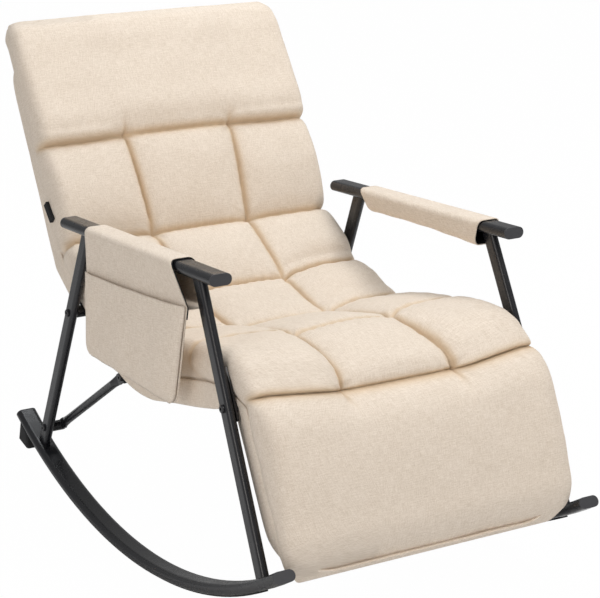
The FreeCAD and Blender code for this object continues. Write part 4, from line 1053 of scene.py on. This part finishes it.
PULL_LINES = [(-150, 1.6), (-95, 1.1), (70, 1.3)]
SLEEVE_CORNERS = [(-24.5, -228.0), (-24.5, 11.9), (22.5, 11.9), (22.5, -61), (-22.0, -61)]
sleeve_path = rounded_path(SLEEVE_CORNERS, 10.0, 4.0)
share_y = np.linspace(0, 1, 76)[None, :]
dx, dz = sleeve_path[:, 0][:, None], sleeve_path[:, 1][:, None]
order = np.arange(len(sleeve_path))[:, None]
hanging = (dx < -20) & (dz < 1) & (order < len(sleeve_path) / 2)
hang_share = (dz + 228.0) / 229.0
y = PANEL_REAR + (PANEL_FRONT - PANEL_REAR) * share_y + 0 * dz
for _ in range(3):
    z = np.where(hanging, PANEL_BOTTOM + (arm_height(y) + 1 - PANEL_BOTTOM) * hang_share, arm_height(y) + dz)
    y = rear_edge(z) + (front_edge(z) - rear_edge(z)) * share_y
pull_lines = sum(size * np.exp(-((y - place) / 9) ** 2) for place, size in PULL_LINES)
pull_lines = pull_lines * np.clip((z - 490) / 30, 0, 1) * np.clip((560 - z) / 30, 0, 1)
x = -ARM_X + dx - (panel_sway(y, z) + pull_lines) * hanging
slack = 1.4 * waves(y, dz * 1.0, 75) * (dz < -12) * (dx > 15)
sleeve_points = np.stack([x + slack, y, z], -1)
pocket_sleeve, sleeve_size, sleeve_area = cloth("pocket_sleeve_cloth", sleeve_points, 1.8, [pocket_cloth])

# %% [markdown]
# A black binding tape is sewn inside the sleeve's front end. Only a few millimetres of it show.

# %% Binding of the sleeve's front end
corner_rows = (order[:, 0] > np.argmax(~hanging[:, 0]) - 12) & (order[:, 0] < len(sleeve_path) - 22)
edge_points = sleeve_points[corner_rows][:, -3:]
inwards = np.array([[-ARM_X, 0, 0]]) - edge_points[:, -1:] * [[1, 0, 0]]
inwards /= np.linalg.norm(inwards, axis=2)[..., None]
tape = [edge_points[:, :1] + inwards * 1.6, edge_points[:, 2:] + inwards * 1.6,
        edge_points[:, 2:] + inwards * 1.2 + [[0, -2.5, 0]]]
binding, tape_size, tape_area = cloth("sleeve_binding", np.concatenate(tape, 1), 0.9, [lining_cloth])

# %% [markdown]
# The pouch is a patch of the same cloth, sewn to the panel on three sides. Its mouth slants and sags a
# little, and it stands off the panel like a shallow pillow.

# %% Pouch
POUCH_REAR_Z, POUCH_FRONT_Z = 500.0, 532.0
across = np.linspace(0, 1, 64)[None, :]
down = np.linspace(1, 0, 44)[:, None]
hem_z = POUCH_REAR_Z + (POUCH_FRONT_Z - POUCH_REAR_Z) * across - 3.0 * np.sin(math.pi * across)
z = PANEL_BOTTOM + 1 + (hem_z - PANEL_BOTTOM - 1) * down
y = rear_edge(z) - 1 + (front_edge(z) - rear_edge(z) + 2) * across
side_way = np.minimum(y - front_edge(z), rear_edge(z) - y)
edge_way = np.minimum(np.clip(side_way, 0, None), 1.1 * (z - PANEL_BOTTOM))
fill = np.sqrt(np.clip(1 - (1 - np.minimum(edge_way / 52, 1)) ** 2, 0, 1))
mouth = np.clip((z - hem_z + 60) / 60, 0, 1)
bulge = 1.2 + fill * (10.5 - 5.0 * mouth) + fill * 1.6 * waves(y, z, 90)
x = -ARM_X - 25.6 - panel_sway(y, z) - bulge
pouch_points = np.stack([x, y, z], -1)
pouch, pouch_size, pouch_area = cloth("pocket_pouch_cloth", pouch_points, 1.6, [pocket_cloth])
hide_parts("pocket_sleeve")
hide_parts("pocket_pouch")
for piece in (pocket_sleeve, binding, pouch):
    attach(piece, "root")

# %% [markdown]
# ## Plain sleeve, on the left armrest
# The same cloth goes closely round the tube, with some slack below it.

# %% Left sleeve
loop = rounded_path([(0, 11.9), (22.5, 11.9), (22.5, -27), (-24.0, -27), (-24.0, 11.9), (-0.5, 11.9)], 10.0, 4.0)
dx, dz = loop[:, 0][None, :], loop[:, 1][None, :]
front = -238 + 10 * (11.9 - dz) / 39
rear = 150 - 42 * (11.9 - dz) / 39
y = rear + (front - rear) * np.linspace(0, 1, 90)[:, None]
slack = np.clip(-dz / 27, 0, 1)
z = arm_height(y) + dz * (1 + slack * 0.28 * np.clip(-y / 230, 0, 1) ** 2) + slack * 1.8 * waves(y, dx * 2, 95)
x = ARM_X - dx + np.sign(-dx) * slack * 1.2 * waves(y, dz * 2, 70)
left_points = np.stack([x, y, z], -1)
left_sleeve, left_size, left_area = cloth("left_sleeve_cloth", left_points, 1.8, [pocket_cloth, lining_cloth],
                                          closed=True)
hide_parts("arm_sleeve_left")
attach(left_sleeve, "root")

# %% [markdown]
# ## Tag
# A small folded strip of black cloth is caught in the side edge of the back. It is bare.

# %% Tag
TAG_FRONT, TAG_REAR = (336.0, 545.0), (362.0, 573.0)
tag_low, tag_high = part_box("side_tag")
bpy.ops.mesh.primitive_cube_add(size=1)
tag = bpy.context.object
tag.name = "side_tag_cloth"
tag_length = math.dist(TAG_FRONT, TAG_REAR) * MM
bpy.ops.object.mode_set(mode="EDIT")
bpy.ops.transform.resize(value=(0.0065, tag_length, 0.014))
bpy.ops.mesh.subdivide(number_cuts=2)
bpy.ops.object.mode_set(mode="OBJECT")
tag.rotation_euler = (math.atan2(TAG_REAR[1] - TAG_FRONT[1], TAG_REAR[0] - TAG_FRONT[0]), 0, 0)
tag.location = (tag_low[0] + 0.0005, (tag_low[1] + tag_high[1]) / 2, (tag_low[2] + tag_high[2]) / 2)
use(tag)
bpy.ops.object.transform_apply(location=True, rotation=True, scale=True)
rounding = tag.modifiers.new("rounding", "BEVEL")
rounding.width, rounding.segments = 0.0007, 2
apply_modifiers(tag)
tag.data.uv_layers[0].name = "cloth"
tag.data.materials.append(lining_cloth)
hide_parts("side_tag")
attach(tag, "backrest")
